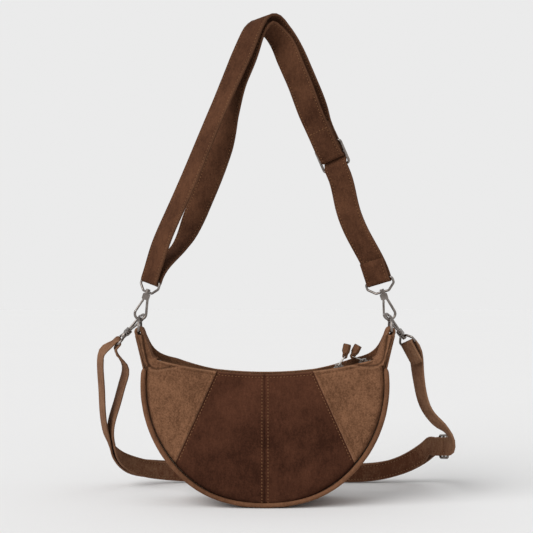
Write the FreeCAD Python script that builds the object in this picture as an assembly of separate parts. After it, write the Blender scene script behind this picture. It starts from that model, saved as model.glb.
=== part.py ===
import FreeCAD, Part
import math
import os

# Half moon bag with a wide shoulder strap and a thin crossbody strap, both clipped to two D-rings.
# Millimetres, +Z up. The origin is the middle of the flat that the bag stands on, +X is to the right
# seen from the front, and +Y points to the back.

# Clearances
clear = 0.3
pin_play = 0.05
hang_gap = 0.9

# Body of the bag
moon_radius = 140.0
base_sink = 3.0
piping_radius = 2.4
piping_proud = 1.9
leather = 2.0
base_half_depth = 38.0
upper_half_depth = 20.19
belly_swell = 21.3
upper_belly = -1.99
piping_end_rise = 17.0

# Mouth and zip
mouth_rise = 10.5
mouth_arc = 482.0
zip_drop = 3.0
tape_thickness = 0.8
tooth_pitch = 3.0
tooth_length = 1.7
tooth_height = 2.4
tooth_inner = 0.6
tooth_outer = 3.2
tape_overrun = 6.0
rail_width = 0.9
stop_length = 2.4
stop_height = 0.7
chain_margin = 1.5

# Dark centre panels
seam_gap = 0.3
centre_seam_top = 56.0
centre_seam_run = 0.47

# Lining
lining = 0.6
lining_drop = 8.5

# Cutting shapes reach past the bag by these
beyond = 300.0
low_cut = -20.0
skin_margin = 10.0

# End tabs and D-rings
ring_out = 4.0
ring_rise = 58.5
ring_wire = 1.4
ring_corner = 2.4
tab_thickness = 3.2
tab_reach = 20.0
elbow_reach = 14.5
tab_elbow_radius = 9.0
tab_overlap = 6.0
horn_drop = 4.5
kink_rise = 13.0
gusset_share = 0.33
tab_samples = 6

# Zip sliders and pulls
slider_length = 11.0
slider_half_width = 4.6
slider_plate = 1.2
slider_neck = 0.8
bridge_length = 7.6
bridge_post = 1.2
bridge_width = 2.0
bridge_height = 3.2
slider_round = 2.5
left_slider_back = 59.0
right_slider_back = 30.5
pull_wire = 0.7
pull_half_width = 3.4
pull_length = 13.0
pull_corner = 1.0
pull_play = 0.1
pull_leather = 1.2
pull_leather_width = 4.6
pull_leather_length = 11.0
left_pull_tilt = 45.0
right_pull_tilt = 145.0
left_leather_lift = 68.0
right_leather_lift = 48.0

# Snap hooks
hook_wire = 1.5
hook_bend = 6.5
hook_neck_half = 2.4
hook_neck = 25.0
head_width = 8.4
head_depth = 5.4
head_bottom = 23.5
head_top = 31.0
head_round = 1.6
rivet_x = -1.6
rivet_height = 26.5
rivet_radius = 0.9
tongue_depth = 2.0
tongue_radius = 2.1
gate_wire = 1.3
gate_gap = 0.45
gate_top_shift = 0.6
gate_top_drop = 1.2
gate_neck_drop = 2.0
gate_neck_share = 0.8
tip_angle = 167.0
post_radius = 1.5
boss_radius = 3.0
boss_height = 3.0
button_radius = 2.6
button_height = 1.6
button_round = 0.6
eye_wire = 1.4
eye_corner = 3.0
eye_base = 0.28
eye_straight = 0.5

# Straps
wide_width = 30.0
wide_thickness = 2.8
wide_eye_length = 14.0
thin_width = 22.0
thin_thickness = 2.2
thin_eye_length = 11.0
bar_wire = 1.5
bar_corner = 3.0
wide_bar_pitch = 14.0
thin_bar_pitch = 11.5
strap_play = 0.8
strap_drop = 305.0
strap_sway = 100.0
tail_length = 24.0
station_step = 11.0
turn_step = 30.0
layer_spread = 0.5

# How the hooks hang: direction from the D-ring towards the strap
wide_hook_lean = 18.0
thin_hook_angle = 40.0
thin_left_way = (-0.705, 0.051, -0.707)
thin_right_way = (0.617, 0.04, -0.786)
thin_left_hang = 5.9
thin_right_hang = 6.6
thin_left_roll = 36.0
thin_right_roll = 139.0
WIDE_LEFT_ACROSS = (0.7, -0.71, 0.0)
WIDE_TOP_ACROSS = (0.8, -0.6, 0.0)
WIDE_RIGHT_ACROSS = (0.88, -0.47, 0.0)
THIN_LEFT_ACROSS = (-0.3, 0.95, 0.0)
THIN_RIGHT_ACROSS = (-0.65, 0.75, 0.05)
THIN_TAIL_WAY = (0.47, -0.05, -0.88)

# Values worked out from the sizes above
moon_centre = moon_radius - base_sink
side_lean = (base_half_depth - upper_half_depth) / moon_centre
belly_fade = (belly_swell - upper_belly) / moon_centre
mouth_height = moon_centre + mouth_rise
kink_height = moon_centre + kink_rise
piping_end_height = moon_centre + piping_end_rise
lining_top = mouth_height - lining_drop
ring_x = moon_radius + ring_out
ring_height = moon_centre + ring_rise
horn_top = ring_height - horn_drop
gusset_rise = (ring_height - kink_height) * gusset_share
tab_foot = ring_x - tab_reach
tab_elbow = ring_x - elbow_reach
left_slider_x = ring_x - left_slider_back
right_slider_x = ring_x - right_slider_back
mouth_axis = mouth_height + mouth_arc
zip_radius = mouth_arc + zip_drop
piping_ring = moon_radius - piping_radius
seam_radius = moon_radius - 2 * piping_radius - clear
gusset_outer = moon_radius - 0.5 * piping_radius
gusset_inner = gusset_outer - leather
tab_loop = ring_wire + clear + tab_thickness / 2
kink_turn = math.asin((kink_height - moon_centre) / gusset_inner)
slider_top = tooth_height / 2 + clear + slider_plate
pull_pivot = slider_top + (bridge_height - bridge_post) / 2 + pull_play
eye_low = head_top + clear + boss_height / 2
button_low = head_top + 2 * clear + boss_height
high_cut = horn_top + skin_margin
wide_hang = ring_wire + hang_gap + hook_wire

X = FreeCAD.Vector(1, 0, 0)
Y = FreeCAD.Vector(0, 1, 0)
Z = FreeCAD.Vector(0, 0, 1)
ORIGIN = FreeCAD.Vector(0, 0, 0)


def vec(x, y, z):
    return FreeCAD.Vector(x, y, z)


def unit(v):
    return FreeCAD.Vector(v).normalize()


def square_to(v, axis):
    """The part of v at right angles to axis, as a unit vector."""
    v = FreeCAD.Vector(v)
    return unit(v - axis * v.dot(axis))


def rotated(shape, centre, axis, degrees):
    turned = shape.copy()
    turned.rotate(centre, axis, degrees)
    return turned


def mirrored(shape):
    return shape.mirror(ORIGIN, X)


def flip(p):
    return vec(-p.x, p.y, p.z)


def box(x0, x1, y0, y1, z0, z1):
    return Part.makeBox(x1 - x0, y1 - y0, z1 - z0, vec(x0, y0, z0))


def rod_between(start, end, radius):
    way = end - start
    return Part.makeCylinder(radius, way.Length, start, way)


def fuse(shapes):
    return shapes[0].multiFuse(shapes[1:]).removeSplitter()


def edges_along(shape, way):
    """The straight edges of a box that run along way."""
    return [e for e in shape.Edges if abs(e.tangentAt(e.FirstParameter).dot(way)) > 0.9]


def line(a, b):
    return Part.LineSegment(a, b).toShape()


def arc(a, middle, b):
    return Part.Arc(a, middle, b).toShape()


def fillet_points(before, corner, after, radius):
    """Where a round corner leaves its first side, its middle, and where it meets its second side."""
    back = unit(before - corner)
    ahead = unit(after - corner)
    half = back.getAngle(ahead) / 2
    reach = radius / math.tan(half)
    bisector = unit(back + ahead)
    middle = corner + bisector * (radius / math.sin(half) - radius)
    return corner + back * reach, middle, corner + ahead * reach


def rounded_loop(corners, radius):
    """A closed wire of straight sides and round corners, starting in the middle of its last side."""
    count = len(corners)
    start = (corners[-1] + corners[0]) * 0.5
    edges = []
    here = start
    for i, corner in enumerate(corners):
        a, middle, b = fillet_points(corners[i - 1], corner, corners[(i + 1) % count], radius)
        edges.append(line(here, a))
        edges.append(arc(a, middle, b))
        here = b
    edges.append(line(here, start))
    return Part.Wire(edges)


def wire_form(path, start, way, radius):
    """A round bar along a path."""
    section = Part.Wire(Part.Circle(start, way, radius).toShape())
    return path.makePipeShell([section], True, False)


def prism(edges, half_depth):
    """A flat outline in the XZ plane, thickened evenly to both sides of it."""
    face = Part.Face(Part.Wire(edges))
    face.translate(Y * -half_depth)
    return face.extrude(Y * (2 * half_depth))


def polygon(points):
    ends = points[1:] + points[:1]
    return [line(a, b) for a, b in zip(points, ends)]


# Form of the bag's front and back

def seam_depth(z):
    """Half the depth of the bag at the piping seam."""
    return base_half_depth - side_lean * z


def skin_depth(x, z):
    """Half the depth of the bag at its outer face."""
    from_centre = (x * x + (z - moon_centre) ** 2) / seam_radius ** 2
    return seam_depth(z) + (1 - from_centre) * (belly_swell - belly_fade * z)


def skin_face(inset, sign):
    """The crowned outer face of the front (sign -1) or back (sign 1), moved in by inset."""
    reach = ring_x + skin_margin
    columns = [reach * (i / 4 - 1) for i in range(9)]
    rows = [low_cut + (high_cut - low_cut) * i / 8 for i in range(9)]
    grid = [[vec(x, sign * (skin_depth(x, z) - inset), z) for z in rows] for x in columns]
    surface = Part.BSplineSurface()
    surface.interpolate(grid)
    return surface.toShape()


def skin_slab(inset, thickness, sign):
    return skin_face(inset, sign).extrude(Y * (-sign * thickness))


def between_seams(inset):
    """The wedge between the front and back seam planes, each moved in by inset."""
    low = seam_depth(low_cut) - inset
    high = seam_depth(high_cut) - inset
    corners = ((-low, low_cut), (low, low_cut), (high, high_cut), (-high, high_cut))
    outline = [vec(-beyond, y, z) for y, z in corners]
    return Part.Face(Part.Wire(polygon(outline))).extrude(X * (2 * beyond))


def zip_height(x, drop):
    radius = mouth_arc + drop
    return mouth_axis - math.sqrt(radius * radius - x * x)


# Shared lines of the right-hand horn, where the end tab holds the D-ring

ring_centre = vec(ring_x, 0, ring_height)
kink_in = vec(gusset_inner * math.cos(kink_turn), 0, kink_height)
to_ring = ring_centre - kink_in
loop_back = tab_loop + tab_thickness / 2 + clear
horn_angle = math.atan2(to_ring.z, to_ring.x) - math.asin(loop_back / to_ring.Length)
horn_way = vec(math.cos(horn_angle), 0, math.sin(horn_angle))
horn_out = vec(math.sin(horn_angle), 0, -math.cos(horn_angle))
foot_drop = zip_drop - tape_thickness / 2 - clear - tab_thickness / 2
foot = vec(tab_foot, 0, zip_height(tab_foot, foot_drop))
foot_angle = math.asin(tab_foot / (mouth_arc + foot_drop))
foot_way = vec(math.cos(foot_angle), 0, math.sin(foot_angle))
foot_up = vec(-math.sin(foot_angle), 0, math.cos(foot_angle))
elbow = foot + foot_way * ((tab_elbow - tab_foot) / foot_way.x)
from_elbow = ring_centre - elbow
inner_angle = math.atan2(from_elbow.z, from_elbow.x) + math.asin(tab_loop / from_elbow.Length)
inner_way = vec(math.cos(inner_angle), 0, math.sin(inner_angle))
inner_out = vec(-math.sin(inner_angle), 0, math.cos(inner_angle))
leg_points = [elbow + inner_way * (from_elbow.Length * i / tab_samples) for i in range(tab_samples)]
tab_half_width = min(skin_depth(p.x, p.z) for p in leg_points + [foot]) - leather - 2 * clear
ring_half = tab_half_width + 2 * clear + ring_wire
ring_top = ring_height + ring_corner + ring_half


def elbow_at(offset):
    """The corner of the tab's inner leg, on a line moved out from the tab's middle by offset."""
    slant = math.tan((inner_angle - foot_angle) / 2)
    return elbow + foot_up * offset - foot_way * (offset * slant)


def tab_side(offset):
    """One long side of the tab's strip: foot, inner leg, loop round the ring's bar, outer leg."""
    radius = tab_loop + offset
    inner_end = ring_centre + inner_out * radius
    top = ring_centre + unit(inner_out + horn_out) * radius
    outer_end = ring_centre + horn_out * radius
    low_end = kink_in - horn_out * (tab_thickness / 2 + clear - offset) - horn_way * tab_overlap
    corner = elbow_at(offset)
    start = foot + foot_up * offset
    a, middle, b = fillet_points(start, corner, inner_end, tab_elbow_radius - offset)
    return [line(start, a), arc(a, middle, b), line(b, inner_end), arc(inner_end, top, outer_end),
            line(outer_end, low_end)], start, low_end


def end_tab():
    half = tab_thickness / 2
    outer, outer_start, outer_low = tab_side(half)
    inner, inner_start, inner_low = tab_side(-half)
    edges = outer + [line(outer_low, inner_low)] + inner[::-1] + [line(inner_start, outer_start)]
    return prism(Part.__sortEdges__(edges), tab_half_width)


def horn_corner(radius):
    return vec(radius * math.cos(kink_turn), 0, moon_centre + radius * math.sin(kink_turn))


def on_moon(radius, height):
    """The point of a circle round the half moon's centre at a height, on the right."""
    rise = height - moon_centre
    return vec(math.sqrt(radius * radius - rise * rise), 0, height)


def side_outline(radius):
    """Outline of the bag's front from the middle of the top edge round to the lowest point, right half. Its round
    side runs on past the piping's end before it turns up to the horn."""
    flush = tab_thickness / 2
    top_start = vec(0, 0, mouth_height)
    edge_end = vec(tab_foot, 0, zip_height(tab_foot, 0))
    edge_middle = vec(tab_foot / 2, 0, zip_height(tab_foot / 2, 0))
    corner = elbow_at(flush)
    rise = (horn_top - corner.z) / inner_way.z
    horn_inner = corner + inner_way * rise
    corner_low = horn_corner(radius)
    horn_outer = corner_low + horn_way * ((horn_top - corner_low.z) / horn_way.z)
    kink = on_moon(radius, piping_end_height + piping_radius + 2 * clear)
    a, middle, b = fillet_points(edge_end, corner, horn_inner, tab_elbow_radius - flush)
    low_turn = -math.asin(moon_centre / radius) if radius > moon_centre else -math.pi / 2
    side = vec(radius * math.cos(low_turn / 2), 0, moon_centre + radius * math.sin(low_turn / 2))
    low = vec(radius * math.cos(low_turn), 0, moon_centre + radius * math.sin(low_turn))
    return [arc(top_start, edge_middle, edge_end), line(edge_end, a), arc(a, middle, b),
            line(b, horn_inner), line(horn_inner, horn_outer), line(horn_outer, kink),
            arc(kink, side, low)]


def whole_outline(radius, depth):
    right = side_outline(radius)
    left = [mirrored(edge) for edge in right]
    edges = right + left
    half_flat = right[-1].Vertexes[-1].Point
    if half_flat.x > 0.01:
        edges.append(line(half_flat, vec(-half_flat.x, 0, half_flat.z)))
    return prism(Part.__sortEdges__(edges), depth)


# Panels, gusset, piping and lining

def front_back_slab(sign):
    return skin_slab(0, leather, sign).common(whole_outline(seam_radius, 3 * base_half_depth))


def seam_x(z):
    return centre_seam_top + (mouth_height - z) * centre_seam_run


def between_lines(inner_low, inner_high, outer_low, outer_high):
    points = [vec(inner_low, 0, low_cut), vec(outer_low, 0, low_cut),
              vec(outer_high, 0, high_cut), vec(inner_high, 0, high_cut)]
    return prism(polygon(points), 3 * base_half_depth)


def front_centre_panel(slab):
    gap = seam_gap / 2
    return slab.common(between_lines(gap, gap, seam_x(low_cut) - gap, seam_x(high_cut) - gap))


def front_side_panel(slab):
    gap = seam_gap / 2
    return slab.common(between_lines(seam_x(low_cut) + gap, seam_x(high_cut) + gap, beyond, beyond))


def strip_ring(outer, inner, rise):
    """A strip that follows the half moon from one horn to the other."""
    def half(radius):
        kink = horn_corner(radius)
        return kink, kink + horn_way * (rise / horn_way.z)
    low_outer = vec(0, 0, moon_centre - outer)
    low_inner = vec(0, 0, moon_centre - inner)
    kink_o, top_o = half(outer)
    kink_i, top_i = half(inner)
    edges = [line(top_i, top_o), line(top_o, kink_o), arc(kink_o, low_outer, flip(kink_o)),
             line(flip(kink_o), flip(top_o)), line(flip(top_o), flip(top_i)), line(flip(top_i), flip(kink_i)),
             arc(flip(kink_i), low_inner, kink_i), line(kink_i, top_i)]
    return prism(edges, 2 * base_half_depth)


def above_floor(shape):
    return shape.cut(box(-beyond, beyond, -beyond, beyond, low_cut, 0))


def gusset():
    inset = leather / 2 + piping_proud + clear
    strip = strip_ring(gusset_outer, gusset_inner, gusset_rise).common(between_seams(inset))
    return above_floor(strip)


def piping(sign):
    """A round cord in the seam plane, with rounded ends at the horns. It is drawn as part of an ellipse,
    so that it still follows the panel's round edge once it is tilted into the seam plane."""
    tilt = math.atan(side_lean)
    tall = piping_ring / math.cos(tilt)
    seam_y = seam_depth(moon_centre) + piping_proud - piping_radius
    end_turn = math.acos((piping_end_height - moon_centre) / piping_ring)
    ellipse = Part.Ellipse(vec(0, 0, tall), vec(piping_ring, 0, 0), ORIGIN)
    path = Part.ArcOfEllipse(ellipse, end_turn, 2 * math.pi - end_turn).toShape()
    start, end = path.valueAt(path.FirstParameter), path.valueAt(path.LastParameter)
    cord = wire_form(Part.Wire(path), start, path.tangentAt(path.FirstParameter), piping_radius)
    cord = fuse([cord] + [Part.makeSphere(piping_radius, p) for p in (start, end)])
    cord.rotate(ORIGIN, X, sign * math.degrees(tilt))
    cord.translate(vec(0, sign * seam_y, moon_centre))
    return above_floor(cord)


def under_lining_top():
    return box(-beyond, beyond, -beyond, beyond, low_cut, lining_top)


def across_bag(radius):
    """A cylinder from front to back, round the half moon's centre."""
    return Part.makeCylinder(radius, 2 * beyond, vec(0, -beyond, moon_centre), Y)


def lining_panel(sign):
    below = across_bag(seam_radius - leather).common(under_lining_top())
    return skin_slab(leather + clear, lining, sign).common(below)


def lining_gusset():
    outer = gusset_inner - clear
    ring = across_bag(outer).cut(across_bag(outer - lining)).common(under_lining_top())
    return ring.common(between_seams(2 * leather + clear))


# Zip

def zip_sector(low, high, y0, y1, reach):
    """A strip that follows the zip's arc: low and high are measured up from the middle of the chain."""
    outline = []
    for level in (low, high):
        radius = zip_radius - level
        end = vec(reach, 0, mouth_axis - math.sqrt(radius * radius - reach * reach))
        outline.append((flip(end), vec(0, 0, mouth_axis - radius), end))
    (a0, a1, a2), (b0, b1, b2) = outline
    face = Part.Face(Part.Wire([arc(a0, a1, a2), line(a2, b2), arc(b2, b1, b0), line(b0, a0)]))
    face.translate(Y * y0)
    return face.extrude(Y * (y1 - y0))


def along_zip(shape, x):
    """Moves a shape made at the zip's middle to the place x on its arc."""
    turn = math.degrees(math.asin(x / zip_radius))
    return rotated(shape, vec(0, 0, mouth_axis), Y, -turn)


zip_middle = mouth_axis - zip_radius
teeth_reach = tab_foot - chain_margin
tape_places = [tab_foot * i / 20 for i in range(21)]
tape_half = min(skin_depth(x, zip_height(x, zip_drop)) for x in tape_places) - leather - clear


def zip_tape(sign):
    low, high = sorted((sign * (tooth_outer + clear / 3), sign * tape_half))
    return zip_sector(-tape_thickness / 2, tape_thickness / 2, low, high, tab_foot + tape_overrun)


def zip_teeth(sign):
    """One row of the chain: a rail along the tape's edge with a tooth at every pitch."""
    low, high = sorted((sign * (tooth_outer - rail_width), sign * tooth_outer))
    rail = zip_sector(-tape_thickness / 2, tape_thickness / 2, low, high, teeth_reach)
    low, high = sorted((sign * tooth_inner, sign * tooth_outer))
    half = tooth_length / 2
    tooth = box(-half, half, low, high, zip_middle - tooth_height / 2, zip_middle + tooth_height / 2)
    count = int(2 * (teeth_reach - tooth_length) / tooth_pitch)
    start = -tooth_pitch * (count - 1) / 2
    return fuse([rail] + [along_zip(tooth, start + i * tooth_pitch) for i in range(count)])


def zip_stops():
    """A small clamp over both rows at each end of the chain."""
    high = zip_middle + tooth_height / 2 + clear / 3
    half = stop_length / 2
    stop = box(-half, half, -tooth_outer, tooth_outer, high, high + stop_height)
    place = teeth_reach - half
    return Part.makeCompound([along_zip(stop, x) for x in (-place, place)])


def zip_slider(x):
    """Two shaped plates round the chain, a thin neck between the rows, and a bridge for the pull."""
    inner = tooth_height / 2 + clear
    half = slider_length / 2
    lip = tape_thickness / 2 + clear
    plate = box(-half, half, -slider_half_width, slider_half_width, inner, slider_top)
    plate = plate.makeFillet(slider_round, edges_along(plate, Z))
    flange_in = tooth_outer + clear
    run = half - slider_round
    flanges = [box(-run, run, a, b, lip, inner) for a, b in (
        (flange_in, slider_half_width), (-slider_half_width, -flange_in))]
    lower = [s.mirror(ORIGIN, Z) for s in [plate] + flanges]
    neck = box(-half / 2, half / 2, -slider_neck / 2, slider_neck / 2, -inner, inner)
    bridge = box(-bridge_length / 2, bridge_length / 2, -bridge_width / 2, bridge_width / 2,
                 slider_top, slider_top + bridge_height)
    hole = bridge_length / 2 - bridge_post
    bridge = bridge.cut(box(-hole, hole, -bridge_width, bridge_width, slider_top,
                            slider_top + bridge_height - bridge_post))
    body = fuse([plate, bridge, neck] + flanges + lower)
    body.translate(Z * zip_middle)
    return along_zip(body, x)


def pull_link(x, tilt):
    """A wire loop through the slider's bridge, tilted from lying flat to the right."""
    w = pull_half_width
    corners = [vec(pull_length, -w, 0), vec(pull_length, w, 0), vec(0, w, 0), vec(0, -w, 0)]
    path = rounded_loop(corners, pull_corner)
    start = (corners[-1] + corners[0]) * 0.5
    link = wire_form(path, start, X, pull_wire)
    link.rotate(ORIGIN, Y, -tilt)
    link.translate(Z * (zip_middle + pull_pivot))
    return along_zip(link, x)


def pull_leather_fold(x, tilt, lift):
    """A leather strip folded round the link's far bar, its two ends standing up at the angle lift."""
    radius = pull_wire + clear + pull_leather / 2
    half = pull_leather / 2
    edges = []
    ends = []
    for r in (radius + half, radius - half):
        low, high = vec(pull_leather_length, 0, -r), vec(pull_leather_length, 0, r)
        edges += [line(low, vec(0, 0, -r)), arc(vec(0, 0, -r), vec(-r, 0, 0), vec(0, 0, r)), line(vec(0, 0, r), high)]
        ends += [low, high]
    edges += [line(ends[0], ends[2]), line(ends[1], ends[3])]
    strip = prism(Part.__sortEdges__(edges), pull_leather_width / 2)
    strip.rotate(ORIGIN, Y, -lift)
    turn = math.radians(tilt)
    far_bar = vec(math.cos(turn), 0, math.sin(turn)) * pull_length
    strip.translate(far_bar + Z * (zip_middle + pull_pivot))
    return along_zip(strip, x)


# D-rings

def d_ring():
    w = ring_half
    c = ring_corner
    k = c * (1 - math.sqrt(0.5))
    edges = [line(vec(0, 0, 0), vec(0, w - c, 0)), arc(vec(0, w - c, 0), vec(0, w - k, k), vec(0, w, c)),
             arc(vec(0, w, c), vec(0, 0, c + w), vec(0, -w, c)),
             arc(vec(0, -w, c), vec(0, k - w, k), vec(0, c - w, 0)), line(vec(0, c - w, 0), vec(0, 0, 0))]
    ring = wire_form(Part.Wire(edges), ORIGIN, Y, ring_wire)
    ring.translate(ring_centre)
    return ring


# Snap hooks, in their own frame: +Z runs from the ring to the strap, +Y is square to the hook's plane

def hook_tip():
    turn = math.radians(tip_angle)
    return vec(hook_bend * math.cos(turn), 0, hook_bend + hook_bend * math.sin(turn))


def hook_body():
    neck = vec(hook_neck_half, 0, hook_neck)
    centre = vec(0, 0, hook_bend)
    away = neck - centre
    swing = math.acos(hook_bend / away.Length)
    turn = math.atan2(away.z, away.x) - swing
    touch = centre + vec(math.cos(turn), 0, math.sin(turn)) * hook_bend
    path = Part.Wire([line(neck, touch), arc(touch, ORIGIN, hook_tip())])
    bend = wire_form(path, neck, touch - neck, hook_wire)
    half = head_width / 2
    depth = head_depth / 2
    head = box(-half, half, -depth, depth, head_bottom, head_top)
    head = head.makeFillet(head_round, edges_along(head, Y))
    slot_half = tongue_depth / 2 + clear / 2
    slot_side = rivet_x + tongue_radius + clear
    slot = box(-head_width, slot_side, -slot_half, slot_half, head_bottom - clear, rivet_height + tongue_radius + clear)
    post = Part.makeCylinder(post_radius, button_low + button_height / 2 - head_top, vec(0, 0, head_top), Z)
    button = Part.makeCylinder(button_radius, button_height, vec(0, 0, button_low), Z)
    button = button.makeFillet(button_round, [button.Edges[0]])
    hole = Part.makeCylinder(rivet_radius + pin_play / 2, 4 * depth, vec(rivet_x, -2 * depth, rivet_height), Y)
    return fuse([bend, head, post, button]).cut(slot).cut(hole)


def hook_gate():
    tip = hook_tip()
    turn = math.radians(tip_angle)
    end = tip + vec(math.sin(turn), 0, -math.cos(turn)) * gate_gap
    pivot = vec(rivet_x, 0, rivet_height)
    top = vec(rivet_x - gate_top_shift, 0, head_bottom - gate_top_drop)
    rod = rod_between(end, top, gate_wire)
    half = tongue_depth / 2
    tongue = Part.makeCylinder(tongue_radius, tongue_depth, pivot - Y * half, Y)
    high_side = X * gate_wire
    low_side = X * (gate_neck_share * gate_wire)
    low = top - Z * gate_neck_drop
    neck = prism(polygon([pivot - high_side, pivot + high_side, low + low_side, low - low_side]), half)
    hole = Part.makeCylinder(rivet_radius + pin_play, 4 * half, pivot - Y * (2 * half), Y)
    return fuse([rod, tongue, neck]).cut(hole)


def gate_rivet():
    half = head_depth / 2 + clear
    return Part.makeCylinder(rivet_radius, 2 * half, vec(rivet_x, -half, rivet_height), Y)


def swivel_eye(strap_width, eye_length):
    """A wire eye for the strap, with a boss that turns on the hook's post."""
    low_half = strap_width * eye_base
    high_half = strap_width / 2 + strap_play + eye_wire
    shoulder = eye_low + eye_length * eye_straight
    top = eye_low + eye_length
    corners = [vec(high_half, 0, top), vec(-high_half, 0, top), vec(-high_half, 0, shoulder),
               vec(-low_half, 0, eye_low), vec(low_half, 0, eye_low), vec(high_half, 0, shoulder)]
    path = rounded_loop(corners, eye_corner)
    start = (corners[-1] + corners[0]) * 0.5
    loop = wire_form(path, start, Z, eye_wire)
    boss = Part.makeCylinder(boss_radius, boss_height, vec(0, 0, eye_low - boss_height / 2), Z)
    hole = Part.makeCylinder(post_radius + pin_play, boss_height * 3, vec(0, 0, eye_low - boss_height * 1.5), Z)
    return fuse([loop, boss]).cut(hole)


class Clip:
    """Where one snap hook hangs: its pivot on the D-ring, its direction, its plane and its eye."""

    def __init__(self, pivot, way, plane_normal, eye_across, eye_length):
        self.pivot = pivot
        self.way = unit(way)
        self.normal = square_to(plane_normal, self.way)
        self.across = square_to(eye_across, self.way)
        self.bar = pivot + self.way * (eye_low + eye_length)
        self.side = self.across.cross(self.way)

    def hook_place(self):
        flat = self.normal.cross(self.way)
        return FreeCAD.Placement(self.pivot, FreeCAD.Rotation(flat, self.normal, self.way, "ZYX"))

    def eye_place(self):
        normal = self.way.cross(self.across)
        return FreeCAD.Placement(self.pivot, FreeCAD.Rotation(self.across, normal, self.way, "ZXY"))


def placed(shape, place):
    moved = shape.copy()
    moved.Placement = place.multiply(moved.Placement)
    return moved


# Straps

def glide(stops):
    """Even stations on a smooth curve through chosen stops, with the width's direction carried along."""
    curve = Part.BSplineCurve()
    curve.interpolate([p for p, across in stops])
    marks = [curve.parameter(p) for p, across in stops]
    count = max(3, round(curve.length() / station_step) + 1)
    stations = []
    for p in curve.discretize(Number=count):
        here = curve.parameter(p)
        i = max(k for k in range(len(marks) - 1) if marks[k] <= here + 1e-9 or k == 0)
        share = (here - marks[i]) / (marks[i + 1] - marks[i])
        stations.append((p, stops[i][1] * (1 - share) + stops[i + 1][1] * share))
    return stations


def ribbon(stations, width, thickness, slanted):
    """A flat strap of ruled faces. Its cross lines are square to the route, or, on a strap that folds
    over at a slant, they all run along the fold."""
    sections = []
    for i, (p, across) in enumerate(stations):
        way = unit(stations[min(i + 1, len(stations) - 1)][0] - stations[max(i - 1, 0)][0])
        wide = unit(across) if slanted else square_to(across, way)
        wide = wide * (width / 2 / math.sin(wide.getAngle(way)))
        thick = unit(way.cross(wide)) * (thickness / 2)
        corners = [p + wide + thick, p - wide + thick, p - wide - thick, p + wide - thick]
        sections.append(Part.Wire(polygon(corners)))
    strap = Part.makeLoft(sections, True, True)
    return strap if strap.Volume > 0 else strap.reversed()


def turn_round(centre, first, second, radius, start, end, across):
    """Stations round a bar: the angle runs from first towards second."""
    steps = max(2, round(abs(end - start) / turn_step))
    stations = []
    for i in range(steps + 1):
        turn = math.radians(start + (end - start) * i / steps)
        out = first * math.cos(turn) + second * math.sin(turn)
        stations.append((centre + out * radius, across))
    return stations


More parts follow.
